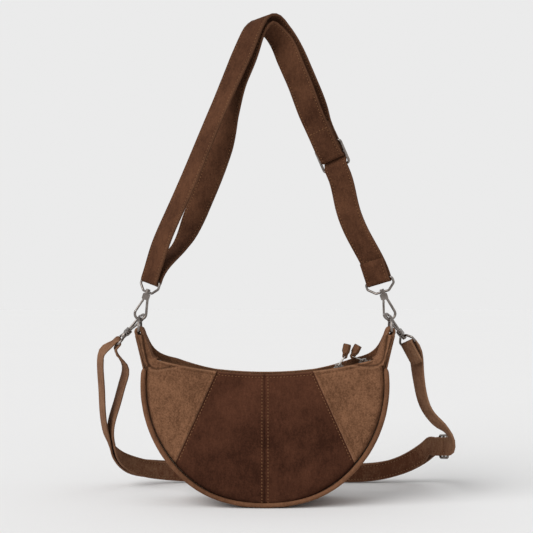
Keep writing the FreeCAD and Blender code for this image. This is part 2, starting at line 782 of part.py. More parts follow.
class Strap:
    """An adjustable strap: one length that runs from its sewn end round the slider's middle bar, along one
    layer to the left eye, back along the other layer through the slider, and on to the right eye."""

    def __init__(self, width, thickness, bar_pitch, left, right, slider, slider_way, slider_across, sides,
                 tail_way, slanted):
        self.slanted = slanted
        self.tail_way = unit(tail_way)
        self.width = width
        self.thickness = thickness
        self.pitch = bar_pitch
        self.left = left
        self.right = right
        self.slider = slider
        self.way = unit(slider_way)
        self.across = square_to(slider_across, self.way)
        self.face = self.way.cross(self.across)
        self.left_side, self.right_side = sides
        self.inner_turn = bar_wire + clear + thickness / 2
        self.outer_turn = self.inner_turn + thickness + clear
        self.eye_turn = eye_wire + clear + thickness / 2

    def at_slider(self, along, out):
        return (self.slider + self.way * along + self.face * out, self.across)

    def sewn_end(self):
        """From the tail over the slider's top bar and round its middle bar."""
        r = self.inner_turn
        lap = math.degrees(math.asin(2 * r / self.pitch))
        top_bar = self.slider - self.way * self.pitch
        tail = [self.at_slider(-self.pitch - tail_length, r), self.at_slider(-self.pitch - tail_length / 2, r)]
        over = turn_round(top_bar, self.face, self.way, r, 0, lap, self.across)
        round_bar = turn_round(self.slider, self.face, self.way, r, 180 + lap, 0, self.across)
        return tail + over + round_bar

    def through_slider(self):
        """Behind the top and middle bars, then out over the lower bar."""
        r = self.inner_turn
        lap = math.degrees(math.asin((r + self.outer_turn) / self.pitch))
        low_bar = self.slider + self.way * self.pitch
        behind = [self.at_slider(-self.pitch, -r - clear)]
        middle = turn_round(self.slider, self.face, self.way, self.outer_turn, 180, 180 - lap, self.across)
        out = turn_round(low_bar, self.face, self.way, r, -lap, 0, self.across)
        return behind + middle + out

    def round_eye(self, clip, side):
        """Round the eye's bar, from one side of the eye's plane to the other."""
        return turn_round(clip.bar, clip.side * side, clip.way * -1, self.eye_turn, 0, 180, clip.across)

    def leave_eye(self, clip, side, reach):
        return (clip.bar + clip.side * (side * self.eye_turn) + clip.way * reach, clip.across)

    def stations(self, first_layer, second_layer, single):
        start = self.sewn_end()
        lead = [self.at_slider(-self.pitch, self.outer_turn),
                self.at_slider(-self.pitch - tail_length, self.outer_turn + layer_spread)]
        left_in = self.leave_eye(self.left, self.left_side, self.eye_turn * 2)
        left_out = self.leave_eye(self.left, -self.left_side, self.eye_turn * 2)
        left_turn = self.round_eye(self.left, self.left_side)
        passing = self.through_slider()
        enter = [self.at_slider(-self.pitch - tail_length, -self.inner_turn - clear), passing[0]]
        right_in = self.leave_eye(self.right, -self.right_side, self.eye_turn * 2)
        right_turn = self.round_eye(self.right, -self.right_side)
        end = right_turn[-1][0]
        last = [(end + self.tail_way * reach, self.right.across) for reach in (tail_length / 2, tail_length)]
        leaving = [self.at_slider(self.pitch + self.inner_turn * n, self.inner_turn) for n in (1, 3)]
        return (start + glide(lead + first_layer + [left_in, left_turn[0]])[:-1] + left_turn
                + glide([left_turn[-1], left_out] + second_layer + enter)[1:-1] + passing
                + glide([passing[-1]] + leaving + single + [right_in, right_turn[0]])[1:-1] + right_turn + last)

    def slider_frame(self):
        half = self.width / 2 + strap_play + bar_wire
        side = self.across * half
        corners = [self.slider + side + self.way * self.pitch, self.slider - side + self.way * self.pitch,
                   self.slider - side - self.way * self.pitch, self.slider + side - self.way * self.pitch]
        path = rounded_loop(corners, bar_corner)
        frame = wire_form(path, (corners[-1] + corners[0]) * 0.5, self.way, bar_wire)
        return fuse([frame, rod_between(self.slider - side, self.slider + side, bar_wire)])


def route(stops, left, right, low, high):
    """Stops given as shares: of the way from left to right, of the sway to the back, and of the way from low to high."""
    span = right - left
    return [(vec(left + u * span, sway * strap_sway, low + v * (high - low)), vec(*across))
            for u, sway, v, across in stops]


def ring_clip(side, turn, hang, way, roll, eye_across, eye_length):
    """A hook round the D-ring's wire, turn degrees from the ring's top towards the back. The wire lies hang
    above the hook's lowest point, and the hook is rolled about its own length."""
    angle = math.radians(turn)
    wire = vec(side * ring_x, ring_half * math.sin(angle), ring_height + ring_corner + ring_half * math.cos(angle))
    tangent = vec(0, math.cos(angle), -math.sin(angle))
    way = unit(vec(*way))
    normal = FreeCAD.Rotation(way, roll).multVec(square_to(tangent, way))
    return Clip(wire - way * hang, way, normal, vec(*eye_across), eye_length)


lean = math.radians(wide_hook_lean)
wide_left_way = (math.sin(lean), 0, math.cos(lean))
wide_right_way = (-math.sin(lean), 0, math.cos(lean))
wide_left = ring_clip(-1, 0, wide_hang, wide_left_way, 0, WIDE_LEFT_ACROSS, wide_eye_length)
wide_right = ring_clip(1, 0, wide_hang, wide_right_way, 0, WIDE_RIGHT_ACROSS, wide_eye_length)
thin_left = ring_clip(-1, thin_hook_angle, thin_left_hang, thin_left_way, thin_left_roll,
                      THIN_LEFT_ACROSS, thin_eye_length)
thin_right = ring_clip(1, thin_hook_angle, thin_right_hang, thin_right_way, thin_right_roll,
                       THIN_RIGHT_ACROSS, thin_eye_length)


def shoulder_strap():
    low = wide_left.bar.z
    left, top, right = WIDE_LEFT_ACROSS, WIDE_TOP_ACROSS, WIDE_RIGHT_ACROSS
    first = [(0.706, -0.05, 0.615, right), (0.656, -0.03, 0.73, right), (0.604, 0, 0.837, right),
             (0.549, 0.04, 0.928, top), (0.488, -0.02, 0.957, top), (0.428, -0.03, 0.86, top),
             (0.374, 0.06, 0.739, left), (0.338, 0.18, 0.609, left), (0.303, 0.26, 0.497, left),
             (0.248, 0.3, 0.373, left), (0.184, 0.28, 0.245, left), (0.121, 0.2, 0.13, left)]
    second = [(0.044, -0.08, 0.137, left), (0.115, -0.12, 0.275, left), (0.179, -0.14, 0.399, left),
              (0.241, -0.13, 0.527, left), (0.315, -0.11, 0.678, left), (0.391, -0.09, 0.826, top),
              (0.443, -0.08, 0.93, top), (0.49, 0.01, 1.0, top), (0.551, 0.1, 0.975, top),
              (0.62, 0.11, 0.867, right), (0.679, 0.09, 0.75, right), (0.725, 0.07, 0.646, right)]
    single = [(0.85, 0.02, 0.28, right), (0.896, 0.02, 0.186, right)]

    def place(stops):
        return route(stops, wide_left.bar.x, wide_right.bar.x, low, low + strap_drop)

    slider = place([(0.796, 0.02, 0.469, right)])[0][0]
    strap = Strap(wide_width, wide_thickness, wide_bar_pitch, wide_left, wide_right, slider,
                  vec(0.4, 0.02, -0.916), vec(*right), (-1, 1), wide_right.way, True)
    return strap, strap.stations(place(first), place(second), place(single))


def crossbody_strap():
    on_floor = thin_width / 2 + clear
    left, right = thin_left.bar.x, thin_right.bar.x
    high = thin_left.bar.z
    hang, turning, rolling, stand = (-0.33, 0.93, 0.1), (-0.2, 0.75, 0.6), (-0.05, 0.4, 0.9), (0, 0, 1)
    tip, roll = (0, 0.05, 1), (0, 0.12, 1)
    first = [(1.085, 1.06, 0.165, tip), (1.045, 1.13, 0.1, stand), (0.97, 1.165, 0.035, stand),
             (0.886, 1.17, 0.005, stand), (0.79, 1.17, 0, stand), (0.69, 1.18, 0, stand), (0.51, 1.19, 0, stand),
             (0.3, 1.17, 0, stand), (0.11, 1.1, 0.03, roll), (0.03, 0.96, 0.08, rolling),
             (-0.026, 0.83, 0.17, turning), (-0.045, 0.72, 0.28, hang), (-0.041, 0.6, 0.408, hang),
             (-0.018, 0.49, 0.55, hang), (0.008, 0.37, 0.71, hang), (0.016, 0.25, 0.85, hang)]
    second = [(-0.066, 0.24, 0.92, hang), (-0.07, 0.33, 0.79, hang), (-0.069, 0.44, 0.66, hang),
              (-0.069, 0.57, 0.46, hang), (-0.062, 0.71, 0.31, hang), (-0.046, 0.84, 0.19, turning),
              (0.012, 1.01, 0.075, rolling), (0.1, 1.15, 0.035, roll), (0.3, 1.23, 0.005, stand),
              (0.51, 1.25, 0, stand), (0.69, 1.245, 0, stand), (0.79, 1.24, 0, stand), (0.886, 1.235, 0.005, stand),
              (0.975, 1.23, 0.03, stand), (1.055, 1.195, 0.095, stand), (1.1, 1.12, 0.16, tip)]
    single = [(1.16, 0.33, 0.29, (-0.15, 0.6, 0.78)), (1.157, 0.255, 0.366, (-0.35, 0.85, 0.3)),
              (1.122, 0.235, 0.439, (-0.45, 0.85, -0.2)), (1.075, 0.23, 0.523, (-0.42, 0.88, -0.1)),
              (1.04, 0.21, 0.704, (-0.45, 0.88, -0.05)), (1.03, 0.18, 0.85, (-0.55, 0.82, 0))]

    def place(stops):
        return route(stops, left, right, on_floor, high)

    slider = place([(1.142, 0.62, 0.245, stand)])[0][0]
    strap = Strap(thin_width, thin_thickness, thin_bar_pitch, thin_left, thin_right, slider,
                  vec(0.25, -0.95, 0.15), vec(0, 0.15, 1), (-1, 1), vec(*THIN_TAIL_WAY), False)
    return strap, strap.stations(place(first), place(second), place(single))


def all_nodes():
    nodes = {}
    front = front_back_slab(-1)
    nodes["front_right_panel"] = front_side_panel(front)
    nodes["front_left_panel"] = mirrored(nodes["front_right_panel"])
    nodes["front_centre_right_panel"] = front_centre_panel(front)
    nodes["front_centre_left_panel"] = mirrored(nodes["front_centre_right_panel"])
    nodes["back_panel"] = front_back_slab(1)
    nodes["gusset"] = gusset()
    nodes["front_piping"] = piping(-1)
    nodes["back_piping"] = piping(1)
    nodes["right_end_tab"] = end_tab()
    nodes["left_end_tab"] = mirrored(nodes["right_end_tab"])
    nodes["front_lining"] = lining_panel(-1)
    nodes["back_lining"] = lining_panel(1)
    nodes["gusset_lining"] = lining_gusset()
    for side, sign in (("front", -1), ("back", 1)):
        nodes[side + "_zip_tape"] = zip_tape(sign)
        nodes[side + "_zip_teeth"] = zip_teeth(sign)
    nodes["zip_end_stops"] = zip_stops()
    for side, x, tilt, lift in (("left", left_slider_x, left_pull_tilt, left_leather_lift),
                                ("right", right_slider_x, right_pull_tilt, right_leather_lift)):
        nodes[side + "_zip_slider"] = zip_slider(x)
        nodes[side + "_zip_pull_link"] = pull_link(x, tilt)
        nodes[side + "_zip_pull_leather"] = pull_leather_fold(x, tilt, lift)
    nodes["right_d_ring"] = d_ring()
    nodes["left_d_ring"] = mirrored(nodes["right_d_ring"])
    for name, width, length, clips in (("shoulder", wide_width, wide_eye_length, (wide_left, wide_right)),
                                       ("crossbody", thin_width, thin_eye_length, (thin_left, thin_right))):
        for side, clip in zip(("left", "right"), clips):
            label = name + "_" + side
            nodes[label + "_hook"] = placed(hook_body(), clip.hook_place())
            nodes[label + "_gate"] = placed(hook_gate(), clip.hook_place())
            nodes[label + "_gate_rivet"] = placed(gate_rivet(), clip.hook_place())
            nodes[label + "_eye"] = placed(swivel_eye(width, length), clip.eye_place())
    for name, (strap, stations) in (("shoulder", shoulder_strap()), ("crossbody", crossbody_strap())):
        nodes[name + "_strap"] = ribbon(stations, strap.width, strap.thickness, strap.slanted)
        nodes[name + "_strap_slider"] = strap.slider_frame()
    return nodes


def main():
    os.makedirs("parts", exist_ok=True)
    for name, shape in all_nodes().items():
        print(f"{name}: {len(shape.Solids)} solids, {shape.Volume:.0f} mm3, valid {shape.isValid()}")
        shape.exportStep("parts/" + name + ".step")


main()
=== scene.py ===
import math

import bmesh
import bpy
from mathutils import Matrix, Vector, noise


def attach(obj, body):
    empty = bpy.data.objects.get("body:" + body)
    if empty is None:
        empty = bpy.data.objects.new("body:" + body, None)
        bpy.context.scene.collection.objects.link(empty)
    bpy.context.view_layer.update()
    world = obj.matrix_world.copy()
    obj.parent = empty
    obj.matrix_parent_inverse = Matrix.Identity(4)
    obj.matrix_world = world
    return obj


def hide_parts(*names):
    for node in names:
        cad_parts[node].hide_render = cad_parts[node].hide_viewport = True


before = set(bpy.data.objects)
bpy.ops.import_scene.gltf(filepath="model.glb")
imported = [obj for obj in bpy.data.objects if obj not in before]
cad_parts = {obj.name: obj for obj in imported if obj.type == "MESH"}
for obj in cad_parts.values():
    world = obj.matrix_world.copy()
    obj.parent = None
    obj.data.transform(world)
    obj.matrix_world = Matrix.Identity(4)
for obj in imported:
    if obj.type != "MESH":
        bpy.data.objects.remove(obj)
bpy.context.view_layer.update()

# Half moon bag. Lengths are in millimetres, in the part's own frame, and become metres when a mesh is made.
MM = 0.001
X, Y, Z = Vector((1, 0, 0)), Vector((0, 1, 0)), Vector((0, 0, 1))

# Body of the bag
MOON_CENTRE = 137.0
SEAM_RADIUS = 134.9
PIPING_RING = 138.3
PIPING_RADIUS = 2.9
GUSSET_MIDDLE = 137.8
PANEL_THICKNESS = 2.0
MOUTH_HEIGHT = 147.5
MOUTH_ARC = 482.0
MOUTH_AXIS = MOUTH_HEIGHT + MOUTH_ARC
SEAM_TOP = 56.0
SEAM_LOW_TURN = -40.76
SEAM_SLOPE = 0.47
SEAM_SQUARE = 0.905
PANEL_KINK = Vector((133.4, 0, 157.0))
HORN_OUTER = Vector((144.6, 0, 192.0))
HORN_INNER = Vector((138.0, 0, 192.0))
FLOOR_GAP = 0.02
PIPING_START, PIPING_SWEEP, PIPING_STEPS = -187.1, 194.2, 140
PIPING_LIFT, PIPING_LIFT_HEIGHT = 3.9, 34.0
GUSSET_START, GUSSET_SWEEP, GUSSET_STEPS = -185.4, 190.8, 160
GUSSET_SET_IN = 2.7
GUSSET_MARGIN = 4.2
RING_BAR = Vector((144.0, 0, 195.5))
TAB_TURN_RADIUS = 3.3
TAB_TURN_START, TAB_TURN_END = 160.6, -16.2
TAB_HALF_WIDTH = 12.9

# Stitches on the panels
EDGE_ROW = 3.8
SEAM_ROW = 3.4
DARK_SEAM_ROW = 4.0
STITCH_PROUD = 0.12

# Zip
ZIP_RADIUS = MOUTH_ARC + 3.0
ZIP_MIDDLE = MOUTH_AXIS - ZIP_RADIUS
TAPE_HALF = 13.25
TAPE_REACH = 130.0
TEETH_REACH = 122.5
TOOTH_PITCH = 3.0
PULL_PIVOT = 3.8
PULL_LENGTH = 13.0
PULL_HALF_THICKNESS = 1.1
PULL_LEG_STEPS = 20

# Straps
SEW_MARGIN = 3.4
STITCH_PITCH = 3.7
CLEAR = 0.3
TAIL = 24.0
SLIDER_WIRE = 1.5
EYE_WIRE = 1.4
STATION_STEP = 6.0
SHOULDER_DROP = 305.0
CROSSBODY_WIDTH = 22.0

# Suede that darkens towards the floor does so below this height, in metres
FADE_HEIGHT = 0.11


# ---------------------------------------------------------------- finishes

class Shade:
    """A socket of a finish, with the arithmetic that the finishes use."""

    def __init__(self, tree, socket=None):
        self.tree, self.socket = tree, socket

    def node(self, kind, settings=(), inputs=(), output=0):
        made = self.tree.nodes.new(kind)
        for name, value in dict(settings).items():
            setattr(made, name, value)
        for name, value in dict(inputs).items():
            if isinstance(value, Shade):
                self.tree.links.new(value.socket, made.inputs[name])
            else:
                made.inputs[name].default_value = value
        return Shade(self.tree, made.outputs[output])

    def math(self, operation, first, second):
        return self.node("ShaderNodeMath", {"operation": operation}, {0: first, 1: second})

    def __add__(self, other):
        return self.math("ADD", self, other)

    def __sub__(self, other):
        return self.math("SUBTRACT", self, other)

    def __mul__(self, other):
        return self.math("MULTIPLY", self, other)

    def spread(self, low, high):
        """The value stretched so that low becomes 0 and high becomes 1, cut off outside them."""
        limits = {"Value": self, "From Min": low, "From Max": high}
        return self.node("ShaderNodeMapRange", {"clamp": True}, limits)

    def between(self, dark, pale):
        """A colour between two others."""
        colours = {0: self}
        for place, colour in ((6, dark), (7, pale)):
            colours[place] = colour if isinstance(colour, Shade) else (*colour, 1)
        return self.node("ShaderNodeMix", {"data_type": "RGBA"}, colours, 2)

    def cloud(self, scale, detail=2.0, roughness=0.5):
        return self.node("ShaderNodeTexNoise", {}, {"Vector": self, "Scale": scale, "Detail": detail,
                                                    "Roughness": roughness})

    def turned(self, turn, scale):
        return self.node("ShaderNodeMapping", {}, {"Vector": self, "Rotation": turn, "Scale": scale})

    def bump(self, strength, distance):
        return self.node("ShaderNodeBump", {}, {"Height": self, "Strength": strength, "Distance": distance})


def finish(name, build):
    """A material whose build function returns the colour, roughness, normal and the shader's constants."""
    material = bpy.data.materials.new(name)
    material.use_nodes = True
    tree = material.node_tree
    shader = tree.nodes["Principled BSDF"]
    start = Shade(tree)
    colour, roughness, normal, constants = build(start)
    for socket, value in (("Base Color", colour), ("Roughness", roughness), ("Normal", normal)):
        if isinstance(value, Shade):
            tree.links.new(value.socket, shader.inputs[socket])
        elif value is not None:
            shader.inputs[socket].default_value = value
    for socket, value in constants.items():
        shader.inputs[socket].default_value = value
    return material


def place_on_piece(start):
    return start.node("ShaderNodeTexCoord", output=3)


def suede(name, deep, pale, wear_and_painted_light, cloudy=0.4, fleck=0.35, contrast=0.34, fade=0.0):
    """Brushed leather: soft clouds, slanting strokes of the nap, a fine fleck, and paler edges, partly wear and
    partly painted highlight, with painted shade in seams, grooves and creases.
    A low contrast value makes the marks stronger, and fade darkens the piece towards the floor."""
    def build(start):
        place = place_on_piece(start)
        clouds = place.cloud(17, 3, 0.55).spread(0.34, 0.66)
        patches = place.cloud(75, 3, 0.6).spread(0.32, 0.68)
        strokes = place.turned((0.25, 0.7, 0.3), (330, 330, 120)).cloud(1, 3, 0.65).spread(0.3, 0.7)
        nap = place.cloud(520, 3, 0.7).spread(0.32, 0.68)
        fine = place.cloud(1500, 2, 0.6).spread(0.3, 0.7)
        tone = clouds * cloudy + patches * 0.22 + strokes * 0.26 + nap * fleck + fine * 0.16
        if fade:
            above_floor = place.node("ShaderNodeSeparateXYZ", {}, {"Vector": place}, 2)
            tone = tone + above_floor.spread(0.0, FADE_HEIGHT) * fade - fade
        middle = (cloudy + 0.64 + fleck) / 2
        edge = start.node("ShaderNodeAttribute", {"attribute_name": "wear_and_painted_light"}, output=2)
        colour = tone.spread(middle - contrast, middle + contrast).between(deep, pale)
        # The attribute's positive part turns worn edges and painted highlights paler; its negative part darkens
        # the colour as painted shade.
        colour = edge.spread(0, 1).between(colour, wear_and_painted_light)
        colour = (edge * -1).spread(0, 1).between(colour, [c * 0.3 for c in deep])
        roughness = nap * 0.1 + 0.86
        height = nap * 0.6 + strokes * 0.4 + patches * 0.6 + fine * 0.2
        return colour, roughness, height.bump(0.4, 0.0006), {
            "Sheen Weight": 0.06, "Sheen Roughness": 0.5, "Sheen Tint": (*wear_and_painted_light, 1), "Specular IOR Level": 0.06}
    return finish(name, build)


def thread(name, dark, pale):
    """Sewing thread, with the twist of its strands."""
    def build(start):
        place = place_on_piece(start)
        twist = place.turned((0.5, 0.6, 0.3), (2600, 2600, 900)).cloud(1, 1).spread(0.3, 0.7)
        return twist.between(dark, pale), 0.8, twist.bump(0.4, 0.0002), {"Specular IOR Level": 0.1}
    return finish(name, build)


def woven(name, dark, pale, pitch):
    """A plain weave, or a twill tape, drawn on the piece's own map in metres."""
    def build(start):
        place = start.node("ShaderNodeTexCoord", output=2)
        waves = []
        for turn in (0.78, -0.78):
            turned = place.turned((0, 0, turn), (1, 1, 1))
            waves.append(turned.node("ShaderNodeTexWave", {"wave_profile": "SIN"}, {
                "Vector": turned, "Scale": 0.314 / pitch, "Distortion": 0.6, "Detail": 1.0}, 1))
        weave = waves[0] * 0.65 + waves[1] * 0.35
        dust = place_on_piece(start).cloud(60, 3).spread(0.3, 0.7)
        colour = (weave * 0.75 + dust * 0.25).between(dark, pale)
        return colour, dust * 0.1 + 0.82, weave.bump(0.5, 0.0003), {"Specular IOR Level": 0.1}
    return finish(name, build)


def metal(name, colour, pale, rough):
    """Plated hardware: brushed very finely, with faint clouding and handling marks."""
    def build(start):
        place = place_on_piece(start)
        clouds = place.cloud(140, 3).spread(0.3, 0.7)
        brushed = place.turned((0.2, 0.4, 0), (300, 300, 4000)).cloud(1, 1).spread(0.2, 0.8)
        marks = place.cloud(900, 1, 0.7).spread(0.62, 0.75)
        tint = (clouds * 0.7 + brushed * 0.3).between(colour, pale)
        roughness = clouds * 0.1 + brushed * 0.06 + marks * 0.12 + rough
        return tint, roughness, brushed.bump(0.05, 0.0001), {"Metallic": 1.0}
    return finish(name, build)


TAN = suede("tan suede", deep=(0.1, 0.045, 0.0225), pale=(0.222, 0.106, 0.056),
            wear_and_painted_light=(0.27, 0.145, 0.083), cloudy=0.2, fleck=0.46, contrast=0.24)
DARK = suede("dark brown suede", deep=(0.034, 0.0118, 0.0062), pale=(0.098, 0.037, 0.02),
             wear_and_painted_light=(0.13, 0.06, 0.034), cloudy=0.4, fleck=0.3, contrast=0.4, fade=0.22)
PIPING = suede("piping suede", deep=(0.096, 0.042, 0.021), pale=(0.2, 0.094, 0.05),
               wear_and_painted_light=(0.24, 0.125, 0.072), cloudy=0.3, fleck=0.3)
GUSSET = suede("gusset suede", deep=(0.092, 0.04, 0.02), pale=(0.19, 0.09, 0.048),
               wear_and_painted_light=(0.24, 0.128, 0.073), cloudy=0.35, fleck=0.35)
WIDE_STRAP = suede("shoulder strap suede", deep=(0.043, 0.0166, 0.0084), pale=(0.112, 0.0475, 0.0243),
                   wear_and_painted_light=(0.15, 0.075, 0.042), cloudy=0.45, fleck=0.3)
THIN_STRAP = suede("crossbody strap suede", deep=(0.094, 0.036, 0.0185), pale=(0.29, 0.16, 0.092),
                   wear_and_painted_light=(0.3, 0.17, 0.1), cloudy=0.35, fleck=0.32, contrast=0.5, fade=0.46)
PULL_LEATHER = suede("pull leather", deep=(0.1, 0.045, 0.023), pale=(0.2, 0.1, 0.055),
                     wear_and_painted_light=(0.26, 0.15, 0.088), cloudy=0.4, fleck=0.3)
TAN_THREAD = thread("tan thread", (0.135, 0.062, 0.027), (0.29, 0.146, 0.07))
BROWN_THREAD = thread("brown thread", (0.1, 0.043, 0.019), (0.22, 0.105, 0.048))
PALE_THREAD = thread("pale tan thread", (0.16, 0.08, 0.038), (0.33, 0.185, 0.1))
TAPE = woven("zip tape", (0.024, 0.013, 0.009), (0.085, 0.047, 0.032), 0.0011)
LINING = woven("lining", (0.16, 0.105, 0.07), (0.3, 0.215, 0.155), 0.0009)
NICKEL = metal("nickel", (0.11, 0.092, 0.08), (0.27, 0.24, 0.22), 0.17)
ZIP_NICKEL = metal("zip nickel", (0.22, 0.2, 0.18), (0.42, 0.39, 0.36), 0.24)


# ---------------------------------------------------------------- making pieces

def keep(name, bm, material, body, nodes=(), smooth=True):
    """Turns a bmesh into a piece that rides on a body and stands for the named nodes."""
    mesh = bpy.data.meshes.new(name)
    bm.to_mesh(mesh)
    bm.free()
    mesh.materials.append(material)
    if smooth:
        mesh.polygons.foreach_set("use_smooth", [True] * len(mesh.polygons))
    piece = bpy.data.objects.new(name, mesh)
    bpy.context.scene.collection.objects.link(piece)
    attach(piece, body)
    if nodes:
        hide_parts(*nodes)
    return piece


def sheet_grid(columns, rows, place, size=None):
    """A grid whose points go where place(u, v) says: a point, or a point and its wear and painted light there.
    """
    bm = bmesh.new()
    bm.loops.layers.uv.new("weave")
    bmesh.ops.create_grid(bm, x_segments=columns, y_segments=rows, size=1, calc_uvs=True)
    wear_and_painted_light = bm.verts.layers.float.new("wear_and_painted_light")
    for v in bm.verts:
        found = place((v.co.x + 1) / 2, (v.co.y + 1) / 2)
        point, v[wear_and_painted_light] = found if isinstance(found, tuple) else (found, 0.0)
        v.co = point * MM
    if size:
        layer = bm.loops.layers.uv.active
        for face in bm.faces:
            for loop in face.loops:
                loop[layer].uv = (loop[layer].uv.x * size[0] * MM, loop[layer].uv.y * size[1] * MM)
    return bm


def face_out(bm, outward):
    """Turns an open sheet so that its faces look along outward."""
    bmesh.ops.recalc_face_normals(bm, faces=bm.faces)
    if sum((f.normal.dot(outward) for f in bm.faces), 0.0) < 0:
        bmesh.ops.reverse_faces(bm, faces=bm.faces)
    return bm


def thicken(piece, thickness):
    wall = piece.modifiers.new("thickness", "SOLIDIFY")
    wall.thickness = thickness * MM
    wall.offset = -1
    return piece


def sleeve(rings, ring_wear_and_shade=None):
    """A closed skin through rings of points, with its two ends filled."""
    around, along = len(rings[0]), len(rings) - 1

    def place(u, v):
        i, j = round(u * around) % around, round(v * along)
        return rings[j][i], (ring_wear_and_shade[i] if ring_wear_and_shade else 0.0)
    bm = sheet_grid(around, along, place)
    bmesh.ops.remove_doubles(bm, verts=bm.verts, dist=1e-7)
    bmesh.ops.holes_fill(bm, edges=bm.edges, sides=0)
    bmesh.ops.recalc_face_normals(bm, faces=bm.faces)
    return bm


def eased(t):
    """Grid lines drawn together at both edges, where the leather turns."""
    return 0.5 - 0.5 * math.cos(math.pi * t)


def wobble(x, z, size, seed):
    return noise.noise(Vector((x / size, seed, z / size)))


def bell(distance, width):
    return math.exp(-(distance / width) ** 2)


def along_points(points):
    """Running lengths of a line of points."""
    lengths = [0.0]
    for a, b in zip(points, points[1:]):
        lengths.append(lengths[-1] + (b - a).length)
    return lengths


def walk(points, lengths, distance):
    """The point at a distance along a line of points."""
    for i in range(len(points) - 1):
        if distance <= lengths[i + 1] or i == len(points) - 2:
            share = (distance - lengths[i]) / max(lengths[i + 1] - lengths[i], 1e-9)
            return points[i].lerp(points[i + 1], min(max(share, 0.0), 1.0))


def many(shape, places):
    """Copies of one small shape, in millimetres, at each of the places."""
    mesh = bpy.data.meshes.new("shape")
    shape.to_mesh(mesh)
    shape.free()
    whole = bmesh.new()
    for place in places:
        whole.from_mesh(mesh)
    whole.verts.ensure_lookup_table()
    size = len(mesh.vertices)
    for i, place in enumerate(places):
        for v in whole.verts[i * size:(i + 1) * size]:
            v.co = (place @ v.co) * MM
    bpy.data.meshes.remove(mesh)
    bmesh.ops.recalc_face_normals(whole, faces=whole.faces)
    return whole


def sew(name, runs, material, body, pitch=STITCH_PITCH, length=2.2, width=0.95):
    """Rows of stitches. A run is a list of (point, outward) along a seam."""
    places = []
    for run in runs:
        points = [p for p, out in run]
        lengths = along_points(points)
        count = max(int(lengths[-1] / pitch), 1)
        k = 0
        for n in range(count):
            distance = (n + 0.5) * lengths[-1] / count
            while k < len(points) - 2 and lengths[k + 1] < distance:
                k += 1
            way = (points[k + 1] - points[k]).normalized()
            out = run[k][1].lerp(run[k + 1][1], 0.5)
            out = (out - way * out.dot(way)).normalized()
            slant = (way + out.cross(way) * 0.1).normalized()
            middle = walk(points[k:k + 2], lengths[k:k + 2], distance)
            turn = Matrix((slant * length, out.cross(slant) * width, out * width * 0.8)).transposed().to_4x4()
            places.append(Matrix.Translation(middle) @ turn)
    stitch = bmesh.new()
    bmesh.ops.create_uvsphere(stitch, u_segments=6, v_segments=4, radius=0.5)
    return keep(name, many(stitch, places), material, body)


# ---------------------------------------------------------------- form of the bag

def seam_depth(z):
    """How far the faces' edge stands from the middle plane, at a height."""
    return 38.0 - 0.13 * z


def skin_depth(x, z):
    """How far the plain form of the faces stands from the middle plane."""
    from_centre = (x * x + (z - MOON_CENTRE) ** 2) / SEAM_RADIUS ** 2
    return seam_depth(z) + (1 - from_centre) * (21.3 - 0.17 * z)


def mouth_edge(x):
    """Height of the mouth's arched edge."""
    return MOUTH_AXIS - math.sqrt(MOUTH_ARC ** 2 - x * x)


def in_plane(*pairs):
    """Points in the bag's middle plane, from pairs of x and z."""
    return [Vector((x, 0, z)) for x, z in pairs]


def evenly(first, span, steps):
    """Places from first over a span, in even steps."""
    return [first + span * i / steps for i in range(steps + 1)]


def on_moon(radius, degrees):
    """A point on a circle about the half moon's centre."""
    turn = math.radians(degrees)
    return Vector((radius * math.cos(turn), 0, MOON_CENTRE + radius * math.sin(turn)))


SEAM_LOW = on_moon(SEAM_RADIUS, SEAM_LOW_TURN)
KINK_TURN = math.degrees(math.asin((PANEL_KINK.z - MOON_CENTRE) / SEAM_RADIUS))
OUTER_LINE = [on_moon(SEAM_RADIUS, SEAM_LOW_TURN + (KINK_TURN - SEAM_LOW_TURN) * i / 40) for i in range(41)]
OUTER_LINE += [PANEL_KINK.lerp(HORN_OUTER, i / 12) for i in range(1, 13)]

# Upper edge of the front, from the seam's top along the mouth and up the horn, and the higher edge of the back
UPPER_LINE = in_plane(*((x, mouth_edge(x)) for x in evenly(SEAM_TOP, 122 - SEAM_TOP, 30)))
UPPER_LINE += in_plane((124.6, 164.2), (126.2, 164.9), (127.9, 166.3), (129.3, 168.7))
UPPER_LINE += [UPPER_LINE[-1].lerp(HORN_INNER, i / 10) for i in range(1, 11)]
BACK_LINE = in_plane(*((x, mouth_edge(x) + 5.0 * min(max((x - SEAM_TOP) / 46, 0), 1) ** 1.4)
                       for x in evenly(SEAM_TOP, 112 - SEAM_TOP, 26)))
BACK_LINE += in_plane((116.5, 167.2), (121, 169.2), (125, 171.8), (128.5, 175.0), (131.4, 178.8), (133.8, 183.0),
                      (135.6, 187.0)) + [HORN_INNER]

# The fold where each side panel turns up into its horn
CREASES = {
    -1: in_plane((88, 157), (95, 155.8), (101, 155.2), (111, 153.8), (119, 152.6), (124, 152.2), (128, 153.3),
                 (131.7, 155.8), (134.6, 160.5), (136.2, 167), (138.4, 178), (140.5, 192)),
    1: in_plane((91.7, 158.3), (104.2, 157), (111, 155.9), (118.3, 155.4), (124, 155.8), (129.2, 157.2),
                (133, 159.8), (135.4, 164), (136.8, 169), (138.6, 179), (140.5, 192))}


def from_line(point, line):
    """Distance from a point to a line of points, both in the XZ plane."""
    best = 1e9
    for a, b in zip(line, line[1:]):
        run = b - a
        share = min(max((point - a).dot(run) / run.length_squared, 0.0), 1.0)
        best = min(best, (point - a - run * share).length)
    return best


def ramp(value, low, high):
    t = min(max((value - low) / (high - low), 0.0), 1.0)
    return t * t * (3 - 2 * t)


def beyond_line(point, line):
    """Distance from a line of points that runs out along +X, positive above it."""
    distance = from_line(point, line)
    for a, b in zip(line, line[1:]):
        facing = a.x <= point.x <= b.x or b is line[-1] or (a is line[0] and point.x < a.x)
        if a.z - 40 < point.z and facing:
            run = b - a
            above = run.x * (point.z - a.z) - run.z * (point.x - a.x)
            return distance if above > 0 else -distance
    return -distance


